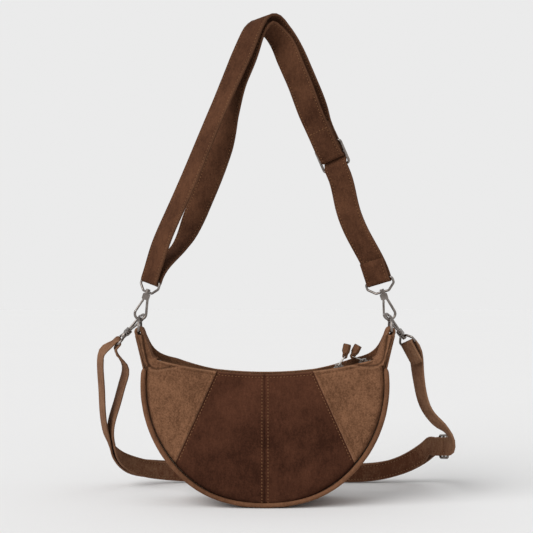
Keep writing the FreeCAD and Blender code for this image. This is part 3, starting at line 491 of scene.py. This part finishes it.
def front_relief(x, z, kind):
    """How far the leather stands out from the plain form, and its wear and painted light, at a place on the bag.
    """
    side = 1 if x > 0 else -1
    ax = abs(x)
    lift = 0.9 * wobble(x, z, 46, 3.1) + 0.35 * wobble(x, z, 17, 7.7)
    wear_and_painted_light = 0.0
    rim = SEAM_RADIUS - math.hypot(x, z - MOON_CENTRE)
    if z < PANEL_KINK.z:
        lift -= 2.3 * bell(max(rim, 0), 3.2)
        # painted shade where the panel dips into the seam by the piping
        wear_and_painted_light -= 0.75 * bell(max(rim, 0), 1.3)
    below_edge = mouth_edge(x) - z
    if ax < 122:
        lift += 0.5 * bell(below_edge - 1.6, 1.6) - 0.7 * bell(below_edge - 4.0, 1.3)
        # paler along the mouth's edge: partly wear, partly a painted highlight on the hem
        wear_and_painted_light += 0.5 * bell(below_edge - 0.6, 0.9)
    seam = (ax - SEAM_TOP - (MOUTH_HEIGHT - z) * SEAM_SLOPE) * SEAM_SQUARE
    if kind == "centre":
        lift -= 0.9 * bell(ax, 1.6) + 0.9 * bell(seam, 4.5)
        lift += 0.3 * bell(ax - 3.6, 2.0)
        # painted shade in the grooves of the middle seam and of the seam to the side panel
        wear_and_painted_light -= 0.45 * bell(ax, 0.7) + 0.4 * bell(seam, 1.0)
    if kind == "side":
        lift += 1.1 * bell(seam - 1.5, 4.0) - 0.5 * bell(seam - 3.6, 1.0)
        wear_and_painted_light += 0.5 * bell(seam + 1.2, 0.9)
    if kind == "side" and ax > 84:
        above = beyond_line(Vector((ax, 0, z)), CREASES[side])
        share = ramp(ax, 88, 106)
        lift -= 2.2 * share * ramp(above, -0.4, 1.4)
        lift += 0.8 * share * bell(above + 2.0, 2.0)
        # a painted highlight along the fold's lip, and painted shade on the horn's flank just above the fold
        wear_and_painted_light += share * (0.4 * bell(above + 0.9, 0.8) - 0.75 * bell(above - 1.2, 1.1))
    return lift, wear_and_painted_light


def patch_point(u, v, kind, face):
    """A point of the front (face -1) or back (face 1): u runs out from the middle, v up to the mouth."""
    if kind == "centre":
        low = on_moon(SEAM_RADIUS, -90 + (SEAM_LOW_TURN + 90) * u)
        x = SEAM_TOP * u
        high = Vector((x, 0, mouth_edge(x)))
    else:
        low = walk(OUTER_LINE, OUTER_LENGTHS, u * OUTER_LENGTHS[-1])
        line, lengths = (BACK_LINE, BACK_LENGTHS) if face > 0 else (UPPER_LINE, UPPER_LENGTHS)
        high = walk(line, lengths, u * lengths[-1])
    return low.lerp(high, v)


OUTER_LENGTHS = along_points(OUTER_LINE)
UPPER_LENGTHS = along_points(UPPER_LINE)
BACK_LENGTHS = along_points(BACK_LINE)


def on_skin(p, side, face, kind, proud=0.0):
    """A point brought out to the leather's surface, and its wear and painted light there."""
    lift, wear_and_painted_light = front_relief(side * p.x, p.z, kind)
    depth = skin_depth(p.x, p.z) + lift + proud
    return Vector((side * p.x, face * depth, p.z)), wear_and_painted_light


def front_patch(kind, side, face, columns, rows, lap=0.0):
    """One panel as an open sheet. A lap carries its inner edge over the next panel."""
    def place(u, v):
        p = patch_point(eased(u), eased(v), kind, face)
        if lap:
            p = p - Vector((lap * (1 - eased(u)) ** 6, 0, 0))
        point, wear_and_painted_light = on_skin(p, side, face, "back" if face > 0 else kind)
        if lap:
            edge = eased(u) * 90
            point.y -= face * 1.2 * bell(edge, 0.5)
        return point, wear_and_painted_light
    return face_out(sheet_grid(columns, rows, place), Y * face)


def skin_run(points, side, face, kind, proud):
    """Stitch places along a line on the bag's front or back."""
    run = []
    for p in points:
        point = on_skin(p, side, face, kind, proud)[0]
        east = on_skin(p + X, side, face, kind)[0] - on_skin(p - X, side, face, kind)[0]
        up = on_skin(p + Z, side, face, kind)[0] - on_skin(p - Z, side, face, kind)[0]
        out = east.cross(up).normalized()
        run.append((point, out if out.y * face > 0 else -out))
    return run


def line_points(a, b, count):
    return [a.lerp(b, i / (count - 1)) for i in range(count)]


def build_panels():
    """The four panels of the front, the tan ones lapped over the dark, and the back in one piece."""
    for side, name in ((-1, "left"), (1, "right")):
        bm = front_patch("centre", side, -1, 44, 64)
        thicken(keep(f"front_centre_{name}_panel_leather", bm, DARK, "bag",
                     [f"front_centre_{name}_panel"]), PANEL_THICKNESS)
        bm = front_patch("side", side, -1, 110, 84, lap=1.6)
        thicken(keep(f"front_{name}_panel_leather", bm, TAN, "bag",
                     [f"front_{name}_panel"]), PANEL_THICKNESS)
    whole = bmesh.new()
    for side in (-1, 1):
        for kind, columns in (("centre", 44), ("side", 76)):
            part = front_patch(kind, side, 1, columns, 60)
            mesh = bpy.data.meshes.new("patch")
            part.to_mesh(mesh)
            part.free()
            whole.from_mesh(mesh)
            bpy.data.meshes.remove(mesh)
    bmesh.ops.remove_doubles(whole, verts=whole.verts, dist=2e-6)
    face_out(whole, Y)
    thicken(keep("back_panel_leather", whole, TAN, "bag", ["back_panel"]), PANEL_THICKNESS)


def below_mouth(places):
    """A row of stitches' places below the mouth's edge."""
    return [Vector((x, 0, mouth_edge(x) - EDGE_ROW)) for x in places]


def build_panel_stitches():
    """Paler rows on the dark panels, and rows near the leather's own tone on the tan ones and the back."""
    centre, seams, tone = [], [], []

    def sew_row(rows, points, kind, face=-1):
        rows.append(skin_run(points, side, face, kind, STITCH_PROUD))

    for side in (-1, 1):
        foot, top = Vector((SEAM_ROW, 0, 4.6)), Vector((SEAM_ROW, 0, mouth_edge(SEAM_ROW) - 1.5))
        sew_row(centre, line_points(foot, top, 60), "centre")
        low, high = SEAM_LOW, Vector((SEAM_TOP, 0, mouth_edge(SEAM_TOP)))
        low, high = low.lerp(high, 0.025), high.lerp(low, 0.012)
        sew_row(seams, line_points(low - X * DARK_SEAM_ROW, high - X * DARK_SEAM_ROW, 60), "centre")
        sew_row(tone, line_points(low + X * SEAM_ROW, high + X * SEAM_ROW, 60), "side")
        sew_row(centre, below_mouth(evenly(1, SEAM_TOP - 3, 30)), "centre")
        sew_row(tone, below_mouth(evenly(SEAM_TOP + 1, 118 - SEAM_TOP, 40)), "side")
        back = below_mouth(evenly(0, SEAM_TOP, 30)) + [p - Z * EDGE_ROW for p in BACK_LINE[1:28]]
        sew_row(tone, back, "back", 1)
    sew("front_centre_stitches", centre + seams, TAN_THREAD, "bag")
    sew("panel_edge_stitches", tone, BROWN_THREAD, "bag")


def build_piping():
    """A cord round each face, lifted and thinned where the bag stands on it."""
    for name, face in (("front", -1), ("back", 1)):
        rings = []
        for i, turn in enumerate(evenly(PIPING_START, PIPING_SWEEP, PIPING_STEPS)):
            p = on_moon(PIPING_RING, turn)
            p.y = face * (seam_depth(p.z) - 0.5)
            p.z += PIPING_LIFT * max(0.0, 1 - (p.z - MOON_CENTRE + PIPING_RING) / PIPING_LIFT_HEIGHT) ** 3
            ahead = on_moon(PIPING_RING, turn + 90) - Z * MOON_CENTRE
            ahead.y = -face * 0.13 * ahead.z
            ahead.normalize()
            out = on_moon(1, turn) - Z * MOON_CENTRE
            out = (out - ahead * out.dot(ahead)).normalized()
            side = ahead.cross(out)
            end = min(i, PIPING_STEPS - i) / 2.0
            radius = PIPING_RADIUS * math.sqrt(1 - max(0.0, 1 - end - 0.12) ** 2)
            radius *= 1 + 0.03 * wobble(p.x, p.z, 9, 2.0) - 0.14 * max(0.0, 1 - p.z / 60)
            ring = []
            for k in range(12):
                t = 2 * math.pi * k / 12
                q = p + out * (radius * math.cos(t)) + side * (radius * math.sin(t))
                q.z = max(q.z, FLOOR_GAP)
                ring.append(q)
            rings.append(ring)
        keep(f"{name}_piping_cord", sleeve(rings), PIPING, "bag", [f"{name}_piping"])


def band_rings(stations, half_thickness, margin=None):
    """Rings of a flat strip with rounded edges and, where it is sewn, a shallow groove at the margin.
    A station is (point, across with its half width as length, outward)."""
    rings = []
    for p, across, out in stations:
        half = across.length
        along = across.normalized()
        t = half_thickness
        inner = margin or half * 0.3
        side = [(half, 0.0), (half - 0.12 * t, 0.58 * t), (half - 0.5 * t, t), (half - t, 1.14 * t),
                (half - inner + 1.0, 1.1 * t), (half - inner, (0.8 if margin else 1.02) * t),
                (half - inner - 1.0, 1.0 * t)]
        upper = side + [(0.0, 1.06 * t)] + [(-a, b) for a, b in side[::-1]]
        lower = [(a, -b) for a, b in upper[1:-1]][::-1]
        rings.append([p + along * a + out * b for a, b in upper + lower])
    return rings


BAND_WEAR_AND_SHADE = [0.1, 0.35, 0.3, 0.1, 0.0, -0.25, 0.0, 0.0, 0.0, -0.25, 0.0, 0.1, 0.3, 0.35]


def band_wear_and_shade():
    """Wear and painted shade round a strip's ring: paler edges, and painted shade in the grooves."""
    return BAND_WEAR_AND_SHADE + [0.1] + BAND_WEAR_AND_SHADE[1:][::-1]


def build_gusset():
    """The strip between the two faces, which runs on up the outer side of each horn."""
    stations = []
    for turn in evenly(GUSSET_START, GUSSET_SWEEP, GUSSET_STEPS):
        p = on_moon(GUSSET_MIDDLE, turn)
        out = on_moon(1, turn) - Z * MOON_CENTRE
        p += out * (0.4 * wobble(p.x, p.z, 24, 5.0))
        p.z = max(p.z, 1.02)
        half = seam_depth(p.z) - GUSSET_SET_IN
        stations.append((p, Y * half, out))
    rings = band_rings(stations, 1.0, GUSSET_MARGIN)
    foot, top, outward = Vector((133.9, 0, 149.0)), Vector((146.2, 0, 191.2)), Vector((0.96, 0, -0.28))
    for side in (-1, 1):
        rise = []
        for i in range(1, 15):
            share = i / 14
            p = foot.lerp(top, share) + outward * (2.9 - 1.3 * share)
            half = max(seam_depth(p.z) - GUSSET_SET_IN, 12.7)
            station = Vector((side * p.x, 0, p.z)), Y * half, Vector((side * outward.x, 0, outward.z))
            rise += band_rings([station], 1.0 - 0.5 * share, GUSSET_MARGIN)
        rings = rise[::-1] + rings if side < 0 else rings + rise
    for ring in rings:
        for q in ring:
            q.z = max(q.z, FLOOR_GAP)
    keep("gusset_leather", sleeve(rings, band_wear_and_shade()), GUSSET, "bag", ["gusset"])


def build_tabs():
    """The leather that lines each horn, turns round the ring's bar and runs down outside."""
    line = in_plane((124.0, 163.0), (124.9, 163.2), (126.9, 164.0), (128.7, 165.3), (130.1, 167.0),
                    (131.1, 168.9), (133.5, 175.8), (136.0, 182.8), (138.5, 189.7), (140.9, 196.6))
    for i in range(1, 9):
        turn = math.radians(TAB_TURN_START - (TAB_TURN_START - TAB_TURN_END) * i / 8)
        line.append(RING_BAR + Vector((math.cos(turn), 0, math.sin(turn))) * TAB_TURN_RADIUS)
    outer_top, outer_foot = in_plane((147.17, 194.6), (132.7, 144.8))
    line += [outer_top.lerp(outer_foot, i / 8) for i in range(1, 9)]
    for side, name in ((-1, "left"), (1, "right")):
        stations = []
        points = [Vector((side * p.x, p.y, p.z)) for p in line]
        for i, p in enumerate(points):
            way = (points[min(i + 1, len(points) - 1)] - points[max(i - 1, 0)]).normalized()
            stations.append((p, Y * TAB_HALF_WIDTH, way.cross(Y) * side))
        bm = sleeve(band_rings(stations, 1.6, SEW_MARGIN), band_wear_and_shade())
        keep(f"{name}_end_tab_leather", bm, TAN, "bag", [f"{name}_end_tab"])


def build_linings():
    """Cloth inside the front, the back and the gusset."""
    for name, face in (("front", -1), ("back", 1)):
        def place(u, v):
            turn = -180 + 180 * u
            low = on_moon(SEAM_RADIUS - 2.2, turn)
            high = Vector((math.cos(math.radians(turn)) * 132.7, 0, 139.0))
            p = low.lerp(high, v)
            p.y = face * (skin_depth(p.x, p.z) - 3.1 - 0.5 * abs(wobble(p.x, p.z, 20, face)))
            return p
        bm = face_out(sheet_grid(60, 40, place, (400, 140)), Y * face)
        thicken(keep(f"{name}_lining_cloth", bm, LINING, "bag", [f"{name}_lining"]), 0.4)

    def strip(u, v):
        p = on_moon(135.9, -179.2 + 178.4 * u)
        p.y = (seam_depth(p.z) - 4.6) * (2 * v - 1)
        return p
    bm = face_out(sheet_grid(90, 8, strip, (425, 60)), -Z)
    thicken(keep("gusset_lining_cloth", bm, LINING, "bag", ["gusset_lining"]), 0.4)


# ---------------------------------------------------------------- zip

def on_zip(x):
    """The turn that brings a shape made at the zip's middle to the place x on its arc."""
    turn = Matrix.Rotation(-math.asin(x / ZIP_RADIUS), 4, "Y")
    return Matrix.Translation(Z * MOUTH_AXIS) @ turn @ Matrix.Translation(-Z * MOUTH_AXIS)


def build_zip():
    """Two tapes on the mouth's arc, each with its row of teeth."""
    for name, face in (("front", -1), ("back", 1)):
        def place(u, v):
            x = TAPE_REACH * (2 * u - 1)
            y = 3.3 + (TAPE_HALF - 3.3) * v
            dip = 0.25 * wobble(x, y * 3, 30, face) - 0.5 * bell(v - 1, 0.25)
            p = on_zip(x) @ Vector((0, 0, ZIP_MIDDLE + 0.35 + dip))
            p.y = face * y
            return p
        bm = face_out(sheet_grid(120, 8, place, (260, 10)), Z)
        thicken(keep(f"{name}_zip_tape_cloth", bm, TAPE, "bag", [f"{name}_zip_tape"]), 0.7)
        tooth = bmesh.new()
        bmesh.ops.create_cube(tooth, size=1)
        for v in tooth.verts:
            width, height = (1.25, 1.7) if v.co.y < 0 else (1.7, 2.4)
            v.co = Vector((v.co.x * width, v.co.y * 2.6 + 1.9, v.co.z * height))
        bmesh.ops.bevel(tooth, geom=tooth.edges, offset=0.3, segments=1, profile=0.5, affect="EDGES",
                        material=-1)
        count = int(2 * (TEETH_REACH - 1.7) / TOOTH_PITCH)
        shift = 0.25 * TOOTH_PITCH * -face
        turned = Matrix.Translation(Z * ZIP_MIDDLE) @ Matrix.Diagonal((1, face, 1, 1))
        places = [on_zip((i - (count - 1) / 2) * TOOTH_PITCH + shift) @ turned for i in range(count)]
        keep(f"{name}_zip_chain", many(tooth, places), ZIP_NICKEL, "bag", [f"{name}_zip_teeth"],
             smooth=False)


def build_pulls():
    """A strip folded round the far bar of each pull, its two legs laid together and twisted."""
    for name, x, tilt, lift in (("left", 85.0, 45.0, 68.0), ("right", 113.5, 145.0, 48.0)):
        turn = math.radians(tilt)
        far_bar = Vector((math.cos(turn), 0, math.sin(turn))) * PULL_LENGTH + Z * (ZIP_MIDDLE + PULL_PIVOT)
        place = on_zip(x) @ Matrix.Translation(far_bar) @ Matrix.Rotation(math.radians(-lift), 4, "Y")
        stations = []
        for i in range(2 * PULL_LEG_STEPS + 1):
            run = abs(i - PULL_LEG_STEPS) / PULL_LEG_STEPS
            leg = 1 if i > PULL_LEG_STEPS else -1
            along = -1.6 + 16.0 * run ** 1.3
            spread = 1.6 * math.sin(min(run / 0.16, 1) * math.pi / 2) - 0.75 * ramp(along, 0.8, 4.5)
            twist = math.radians(50) * ramp(along, 0.5, 7.0)
            out = Vector((0, -math.sin(twist), math.cos(twist)))
            across = Vector((0, math.cos(twist), math.sin(twist)))
            half = 2.6 + 1.9 * ramp(along, 1.0, 5.5) - 0.9 * ramp(run, 0.93, 1.0)
            point = place @ (X * along + out * (leg * spread))
            stations.append((point, place.to_3x3() @ (across * half)))
        points = [p for p, across in stations]
        made = []
        for i, (p, across) in enumerate(stations):
            way = (points[min(i + 1, len(points) - 1)] - points[max(i - 1, 0)]).normalized()
            made.append((p, across, way.cross(across).normalized()))
        fold = sleeve(band_rings(made, PULL_HALF_THICKNESS))
        keep(f"{name}_zip_pull_fold", fold, PULL_LEATHER, f"{name}_zip_pull",
             [f"{name}_zip_pull_leather"])


# ---------------------------------------------------------------- straps

def square_to(v, axis):
    return (v - axis * v.dot(axis)).normalized()


class Clip:
    """Where a strap turns round the bar of a hook's eye."""

    def __init__(self, bar, way, across):
        self.bar, self.way = Vector(bar), Vector(way).normalized()
        self.across = square_to(Vector(across), self.way)
        self.side = self.across.cross(self.way)


def bend_through(stops, step):
    """Even stations on a smooth curve through chosen stops, with the width's direction carried along."""
    points = [p for p, across in stops]
    marks = along_points(points)
    last = len(points) - 1
    gaps = [marks[i + 1] - marks[i] for i in range(last)]
    # curvature at each stop, from the usual three-term equations with straight ends
    upper, right = [0.0] * (last + 1), [Vector()] * (last + 1)
    for i in range(1, last):
        span = 2 * (gaps[i - 1] + gaps[i]) - gaps[i - 1] * upper[i - 1]
        pull = 6 * ((points[i + 1] - points[i]) / gaps[i] - (points[i] - points[i - 1]) / gaps[i - 1])
        upper[i] = gaps[i] / span
        right[i] = (pull - gaps[i - 1] * right[i - 1]) / span
    curve = [Vector() for p in points]
    for i in range(last - 1, 0, -1):
        curve[i] = right[i] - upper[i] * curve[i + 1]
    fine = []
    for i in range(last):
        h = gaps[i]
        for n in range(12):
            t = n / 12
            a, b = 1 - t, t
            p = points[i] * a + points[i + 1] * b
            p += ((a ** 3 - a) * curve[i] + (b ** 3 - b) * curve[i + 1]) * (h * h / 6)
            fine.append((p, stops[i][1] * a + stops[i + 1][1] * b))
    fine.append(stops[-1])
    lengths = along_points([p for p, across in fine])
    count = max(3, round(lengths[-1] / step))
    stations, k = [], 0
    for n in range(count + 1):
        distance = lengths[-1] * n / count
        while k < len(fine) - 2 and lengths[k + 1] < distance:
            k += 1
        share = (distance - lengths[k]) / (lengths[k + 1] - lengths[k])
        stations.append((fine[k][0].lerp(fine[k + 1][0], share), fine[k][1].lerp(fine[k + 1][1], share)))
    return stations


def turn_round(centre, first, second, radius, start, end, across):
    """Stations round a bar: the angle runs from first towards second."""
    steps = max(4, round(abs(end - start) / 12))
    stations = []
    for i in range(steps + 1):
        turn = math.radians(start + (end - start) * i / steps)
        stations.append((centre + (first * math.cos(turn) + second * math.sin(turn)) * radius, across))
    return stations


class Strap:
    """One length that runs from its sewn end round the slider's middle bar, along one layer to the left eye,
    back along the other layer through the slider, and on to the right eye."""

    def __init__(self, width, thickness, pitch, left, right, slider, way, across, sides, tail_way, slanted):
        self.tail_way = Vector(tail_way).normalized()
        self.width, self.thickness, self.pitch, self.slanted = width, thickness, pitch, slanted
        self.left, self.right, self.slider = left, right, slider
        self.way = Vector(way).normalized()
        self.across = square_to(Vector(across), self.way)
        self.face = self.way.cross(self.across)
        self.left_side, self.right_side = sides
        self.inner = SLIDER_WIRE + CLEAR + thickness / 2
        self.outer = self.inner + thickness + CLEAR
        self.eye = EYE_WIRE + CLEAR + thickness / 2

    def at_slider(self, along, out):
        return self.slider + self.way * along + self.face * out, self.across

    def sewn_end(self):
        r = self.inner
        lap = math.degrees(math.asin(2 * r / self.pitch))
        tail = [self.at_slider(-self.pitch - TAIL * n / 4, r) for n in (4, 3, 2, 1)]
        over = turn_round(self.slider - self.way * self.pitch, self.face, self.way, r, 0, lap, self.across)
        return tail + over + turn_round(self.slider, self.face, self.way, r, 180 + lap, 0, self.across)

    def through_slider(self):
        r = self.inner
        lap = math.degrees(math.asin((r + self.outer) / self.pitch))
        middle = turn_round(self.slider, self.face, self.way, self.outer, 180, 180 - lap, self.across)
        out = turn_round(self.slider + self.way * self.pitch, self.face, self.way, r, -lap, 0, self.across)
        return [self.at_slider(-self.pitch, -r - CLEAR)] + middle + out

    def round_eye(self, clip, side):
        return turn_round(clip.bar, clip.side * side, -clip.way, self.eye, 0, 180, clip.across)

    def leave_eye(self, clip, side, reach):
        return clip.bar + clip.side * (side * self.eye) + clip.way * reach, clip.across

    def stations(self, first_layer, second_layer, single, step=STATION_STEP):
        lead = [self.at_slider(-self.pitch, self.outer), self.at_slider(-self.pitch - TAIL, self.outer + 0.5)]
        left_in = self.leave_eye(self.left, self.left_side, self.eye * 2)
        left_out = self.leave_eye(self.left, -self.left_side, self.eye * 2)
        left_turn = self.round_eye(self.left, self.left_side)
        passing = self.through_slider()
        enter = [self.at_slider(-self.pitch - TAIL, -self.inner - CLEAR), passing[0]]
        right_in = self.leave_eye(self.right, -self.right_side, self.eye * 2)
        right_turn = self.round_eye(self.right, -self.right_side)
        last = [(right_turn[-1][0] + self.tail_way * (TAIL * n / 4), self.right.across) for n in (1, 2, 3, 4)]
        leaving = [self.at_slider(self.pitch + self.inner * n, self.inner) for n in (1, 3)]
        to_left = bend_through(lead + first_layer + [left_in, left_turn[0]], step)[:-1]
        back_again = bend_through([left_turn[-1], left_out] + second_layer + enter, step)[1:-1]
        to_right = bend_through([passing[-1]] + leaving + single + [right_in, right_turn[0]], step)[1:-1]
        return self.sewn_end() + to_left + left_turn + back_again + passing + to_right + right_turn + last

    def frames(self, stations):
        """(point, across with its half width as length, outward, way) at each station."""
        made = []
        for i, (p, across) in enumerate(stations):
            way = (stations[min(i + 1, len(stations) - 1)][0] - stations[max(i - 1, 0)][0]).normalized()
            wide = across.normalized() if self.slanted else square_to(across, way)
            wide = wide * (self.width / 2 / math.sin(wide.angle(way)))
            made.append((p, wide, way.cross(wide).normalized(), way))
        return made


def route(stops, left, right, low, high):
    """Stops given as shares of the way from left to right, to the back, and from low to high."""
    span = right - left
    return [(Vector((left + u * span, 100 * sway, low + v * (high - low))), Vector(across))
            for u, sway, v, across in stops]


def shoulder_strap():
    """The wide strap, held up in a loop."""
    left, top, right, open_left = (0.7, -0.71, 0), (0.8, -0.6, 0), (0.88, -0.47, 0), (0.93, -0.37, 0)
    tipped, level = (0.78, -0.56, 0.2), (0.79, -0.58, 0.1)
    left_clip = Clip((-130.71, 0, 253.72), (0.30902, 0, 0.95106), left)
    right_clip = Clip((130.71, 0, 253.72), (-0.30902, 0, 0.95106), right)
    first = [(0.706, -0.05, 0.615, right), (0.656, -0.03, 0.73, right), (0.604, 0, 0.837, right),
             (0.549, 0.04, 0.928, top), (0.488, -0.02, 0.955, tipped), (0.428, -0.03, 0.86, top),
             (0.374, 0.06, 0.739, left), (0.336, 0.18, 0.609, left), (0.298, 0.26, 0.497, open_left),
             (0.245, 0.3, 0.373, open_left), (0.184, 0.28, 0.245, open_left), (0.121, 0.2, 0.13, left)]
    second = [(0.044, -0.08, 0.137, left), (0.115, -0.12, 0.275, left), (0.179, -0.14, 0.399, left),
              (0.241, -0.13, 0.527, left), (0.315, -0.11, 0.678, left), (0.395, -0.09, 0.838, top),
              (0.437, -0.08, 0.925, tipped), (0.475, -0.03, 0.98, tipped), (0.515, 0.05, 0.992, level),
              (0.556, 0.1, 0.962, top), (0.62, 0.11, 0.867, right), (0.679, 0.09, 0.75, right),
              (0.725, 0.07, 0.646, right)]
    single = [(0.861, 0.02, 0.28, right), (0.905, 0.02, 0.18, right)]

    def place(stops):
        return route(stops, left_clip.bar.x, right_clip.bar.x, left_clip.bar.z, left_clip.bar.z + SHOULDER_DROP)

    slider = place([(0.796, 0.02, 0.469, right)])[0][0]
    strap = Strap(width=30.0, thickness=2.8, pitch=14.0, left=left_clip, right=right_clip, slider=slider,
                  way=(0.4, 0.02, -0.916), across=right, sides=(-1, 1), tail_way=right_clip.way, slanted=True)
    return strap, strap.frames(strap.stations(place(first), place(second), place(single)))


def crossbody_strap():
    """The thin strap, laid round the back of the bag on its edge."""
    left_clip = Clip((-170.73, 11.53, 182.53), (-0.70519, 0.05101, -0.70719), (-0.3, 0.95, 0))
    right_clip = Clip((166.95, 11.08, 180.1), (0.61697, 0.04, -0.78597), (-0.65, 0.75, 0.05))
    hang, turning, rolling, stand = (-0.4, 0.9, 0.1), (-0.2, 0.75, 0.6), (-0.05, 0.4, 0.9), (0, 0, 1)
    tip, roll = (0, 0.05, 1), (0, 0.12, 1)
    first = [(1.085, 1.06, 0.165, tip), (1.045, 1.13, 0.1, stand), (0.97, 1.165, 0.035, stand),
             (0.886, 1.17, 0.005, stand), (0.79, 1.17, 0, stand), (0.69, 1.18, 0, stand),
             (0.51, 1.19, 0, stand), (0.3, 1.17, 0, stand), (0.11, 1.1, 0.03, roll), (0.03, 0.96, 0.08, rolling),
             (-0.026, 0.83, 0.17, turning), (-0.045, 0.72, 0.28, hang), (-0.041, 0.6, 0.408, hang),
             (-0.018, 0.49, 0.55, hang), (0.008, 0.37, 0.71, hang), (0.016, 0.25, 0.85, hang)]
    second = [(-0.058, 0.22, 0.915, hang), (-0.068, 0.32, 0.79, hang), (-0.069, 0.44, 0.66, hang),
              (-0.069, 0.57, 0.46, hang), (-0.062, 0.71, 0.31, hang), (-0.046, 0.84, 0.19, turning),
              (0.012, 1.01, 0.075, rolling), (0.1, 1.15, 0.035, roll), (0.3, 1.23, 0.005, stand),
              (0.51, 1.25, 0, stand), (0.69, 1.245, 0, stand), (0.79, 1.24, 0, stand),
              (0.886, 1.235, 0.005, stand), (0.975, 1.23, 0.03, stand), (1.055, 1.195, 0.095, stand),
              (1.1, 1.12, 0.16, tip)]
    single = [(1.155, 0.33, 0.285, (-0.15, 0.6, 0.78)), (1.146, 0.255, 0.355, (-0.35, 0.85, 0.3)),
              (1.11, 0.235, 0.43, (-0.45, 0.85, -0.2)), (1.068, 0.23, 0.525, (-0.42, 0.88, -0.1)),
              (1.04, 0.21, 0.704, (-0.45, 0.88, -0.05)), (1.03, 0.18, 0.85, (-0.55, 0.82, 0))]

    on_floor = CROSSBODY_WIDTH / 2 + CLEAR

    def place(stops):
        return route(stops, left_clip.bar.x, right_clip.bar.x, on_floor, left_clip.bar.z)

    slider = place([(1.142, 0.62, 0.245, stand)])[0][0]
    strap = Strap(width=CROSSBODY_WIDTH, thickness=2.2, pitch=11.5, left=left_clip, right=right_clip,
                  slider=slider, way=(0.25, -0.95, 0.15), across=(0, 0.15, 1), sides=(-1, 1),
                  tail_way=(0.47, -0.05, -0.88), slanted=False)
    return strap, strap.frames(strap.stations(place(first), place(second), place(single)))


def build_strap(name, strap, frames, material, stitch):
    """A strap with a row of stitches along each edge and across its sewn ends."""
    rings = band_rings([(p, wide, out) for p, wide, out, way in frames], strap.thickness / 2, SEW_MARGIN)
    leather = sleeve(rings, band_wear_and_shade())
    keep(f"{name}_strap_leather", leather, material, f"{name}_strap", [f"{name}_strap"])
    runs = []
    for edge in (-1, 1):
        for face in (-1, 1):
            run = []
            for p, wide, out, way in frames[1:-1]:
                across = wide.normalized() * (edge * (wide.length - SEW_MARGIN))
                run.append((p + across + out * (face * strap.thickness * 0.44), out * face))
            runs.append(run)
    for near in (strap.at_slider(-strap.pitch - TAIL * 0.85, strap.outer)[0],
                 strap.leave_eye(strap.right, -strap.right_side, TAIL * 0.9)[0]):
        p, wide, out, way = min(frames, key=lambda f: (f[0] - near).length)
        for face in (-1, 1):
            lifted = p + out * (face * strap.thickness * 0.5)
            runs.append([(lifted + wide * (0.8 * a), out * face) for a in (-1, -0.3, 0.3, 1)])
    sew(f"{name}_strap_stitches", runs, stitch, f"{name}_strap", width=0.85)


# ---------------------------------------------------------------- hardware

def finish_hardware():
    """Nickel on the metal solids, which are shown as they are."""
    for name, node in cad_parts.items():
        if node.hide_render:
            continue
        node.data.materials.clear()
        node.data.materials.append(ZIP_NICKEL if "zip" in name else NICKEL)


# ---------------------------------------------------------------- studio

def build_studio():
    """A pale floor and room, two soft lamps and the camera."""
    floor = bmesh.new()
    bmesh.ops.create_grid(floor, x_segments=1, y_segments=1, size=6.0)
    mesh = bpy.data.meshes.new("floor")
    floor.to_mesh(mesh)
    floor.free()

    def build(start):
        grain = place_on_piece(start).cloud(3, 2)
        colour = grain.between((0.834, 0.834, 0.834), (0.844, 0.844, 0.844))
        return colour, 0.9, None, {"Specular IOR Level": 0.0}
    mesh.materials.append(finish("pale floor", build))
    piece = bpy.data.objects.new("floor", mesh)
    piece.location = (0, 0, -0.0006)
    bpy.context.scene.collection.objects.link(piece)

    world = bpy.data.worlds.new("studio")
    bpy.context.scene.world = world
    world.use_nodes = True
    tree = world.node_tree
    start = Shade(tree)
    seen = start.node("ShaderNodeLightPath")
    for ray in ("Is Glossy Ray", "Is Transmission Ray"):
        seen = start.math("MAXIMUM", seen, start.node("ShaderNodeLightPath", output=ray))
    way_up = start.node("ShaderNodeSeparateXYZ", {}, {"Vector": start.node("ShaderNodeTexCoord")}, 2)
    room = way_up.spread(-0.1, 1.0).between((0.16, 0.155, 0.15), (0.7, 0.7, 0.7))
    background = tree.nodes["Background"]
    tree.links.new(seen.between(room, (0.83, 0.83, 0.83)).socket, background.inputs["Color"])
    background.inputs["Strength"].default_value = 1.0

    lamps = ("key", (-0.62, -0.5, 0.6), 2.2, 50), ("fill", (0.7, -0.6, 0.4), 0.3, 70)
    for name, towards, power, spread in lamps:
        lamp = bpy.data.lights.new(name, "SUN")
        lamp.energy, lamp.angle = power, math.radians(spread)
        holder = bpy.data.objects.new(name, lamp)
        holder.rotation_euler = (-Vector(towards)).to_track_quat("-Z", "Y").to_euler()
        bpy.context.scene.collection.objects.link(holder)

    lens = bpy.data.cameras.new("camera")
    lens.lens, lens.sensor_width = 79.3, 36.0
    camera = bpy.data.objects.new("camera", lens)
    camera.location = (0.0017, -1.35, 0.2697)
    camera.rotation_euler = (math.pi / 2, 0, 0)
    bpy.context.scene.collection.objects.link(camera)
    bpy.context.scene.camera = camera
    bpy.context.scene.view_settings.view_transform = "Standard"


build_panels()
build_panel_stitches()
build_piping()
build_gusset()
build_tabs()
build_linings()
build_zip()
build_pulls()
wide, wide_frames = shoulder_strap()
build_strap("shoulder", wide, wide_frames, WIDE_STRAP, TAN_THREAD)
thin, thin_frames = crossbody_strap()
build_strap("crossbody", thin, thin_frames, THIN_STRAP, PALE_THREAD)
finish_hardware()
build_studio()
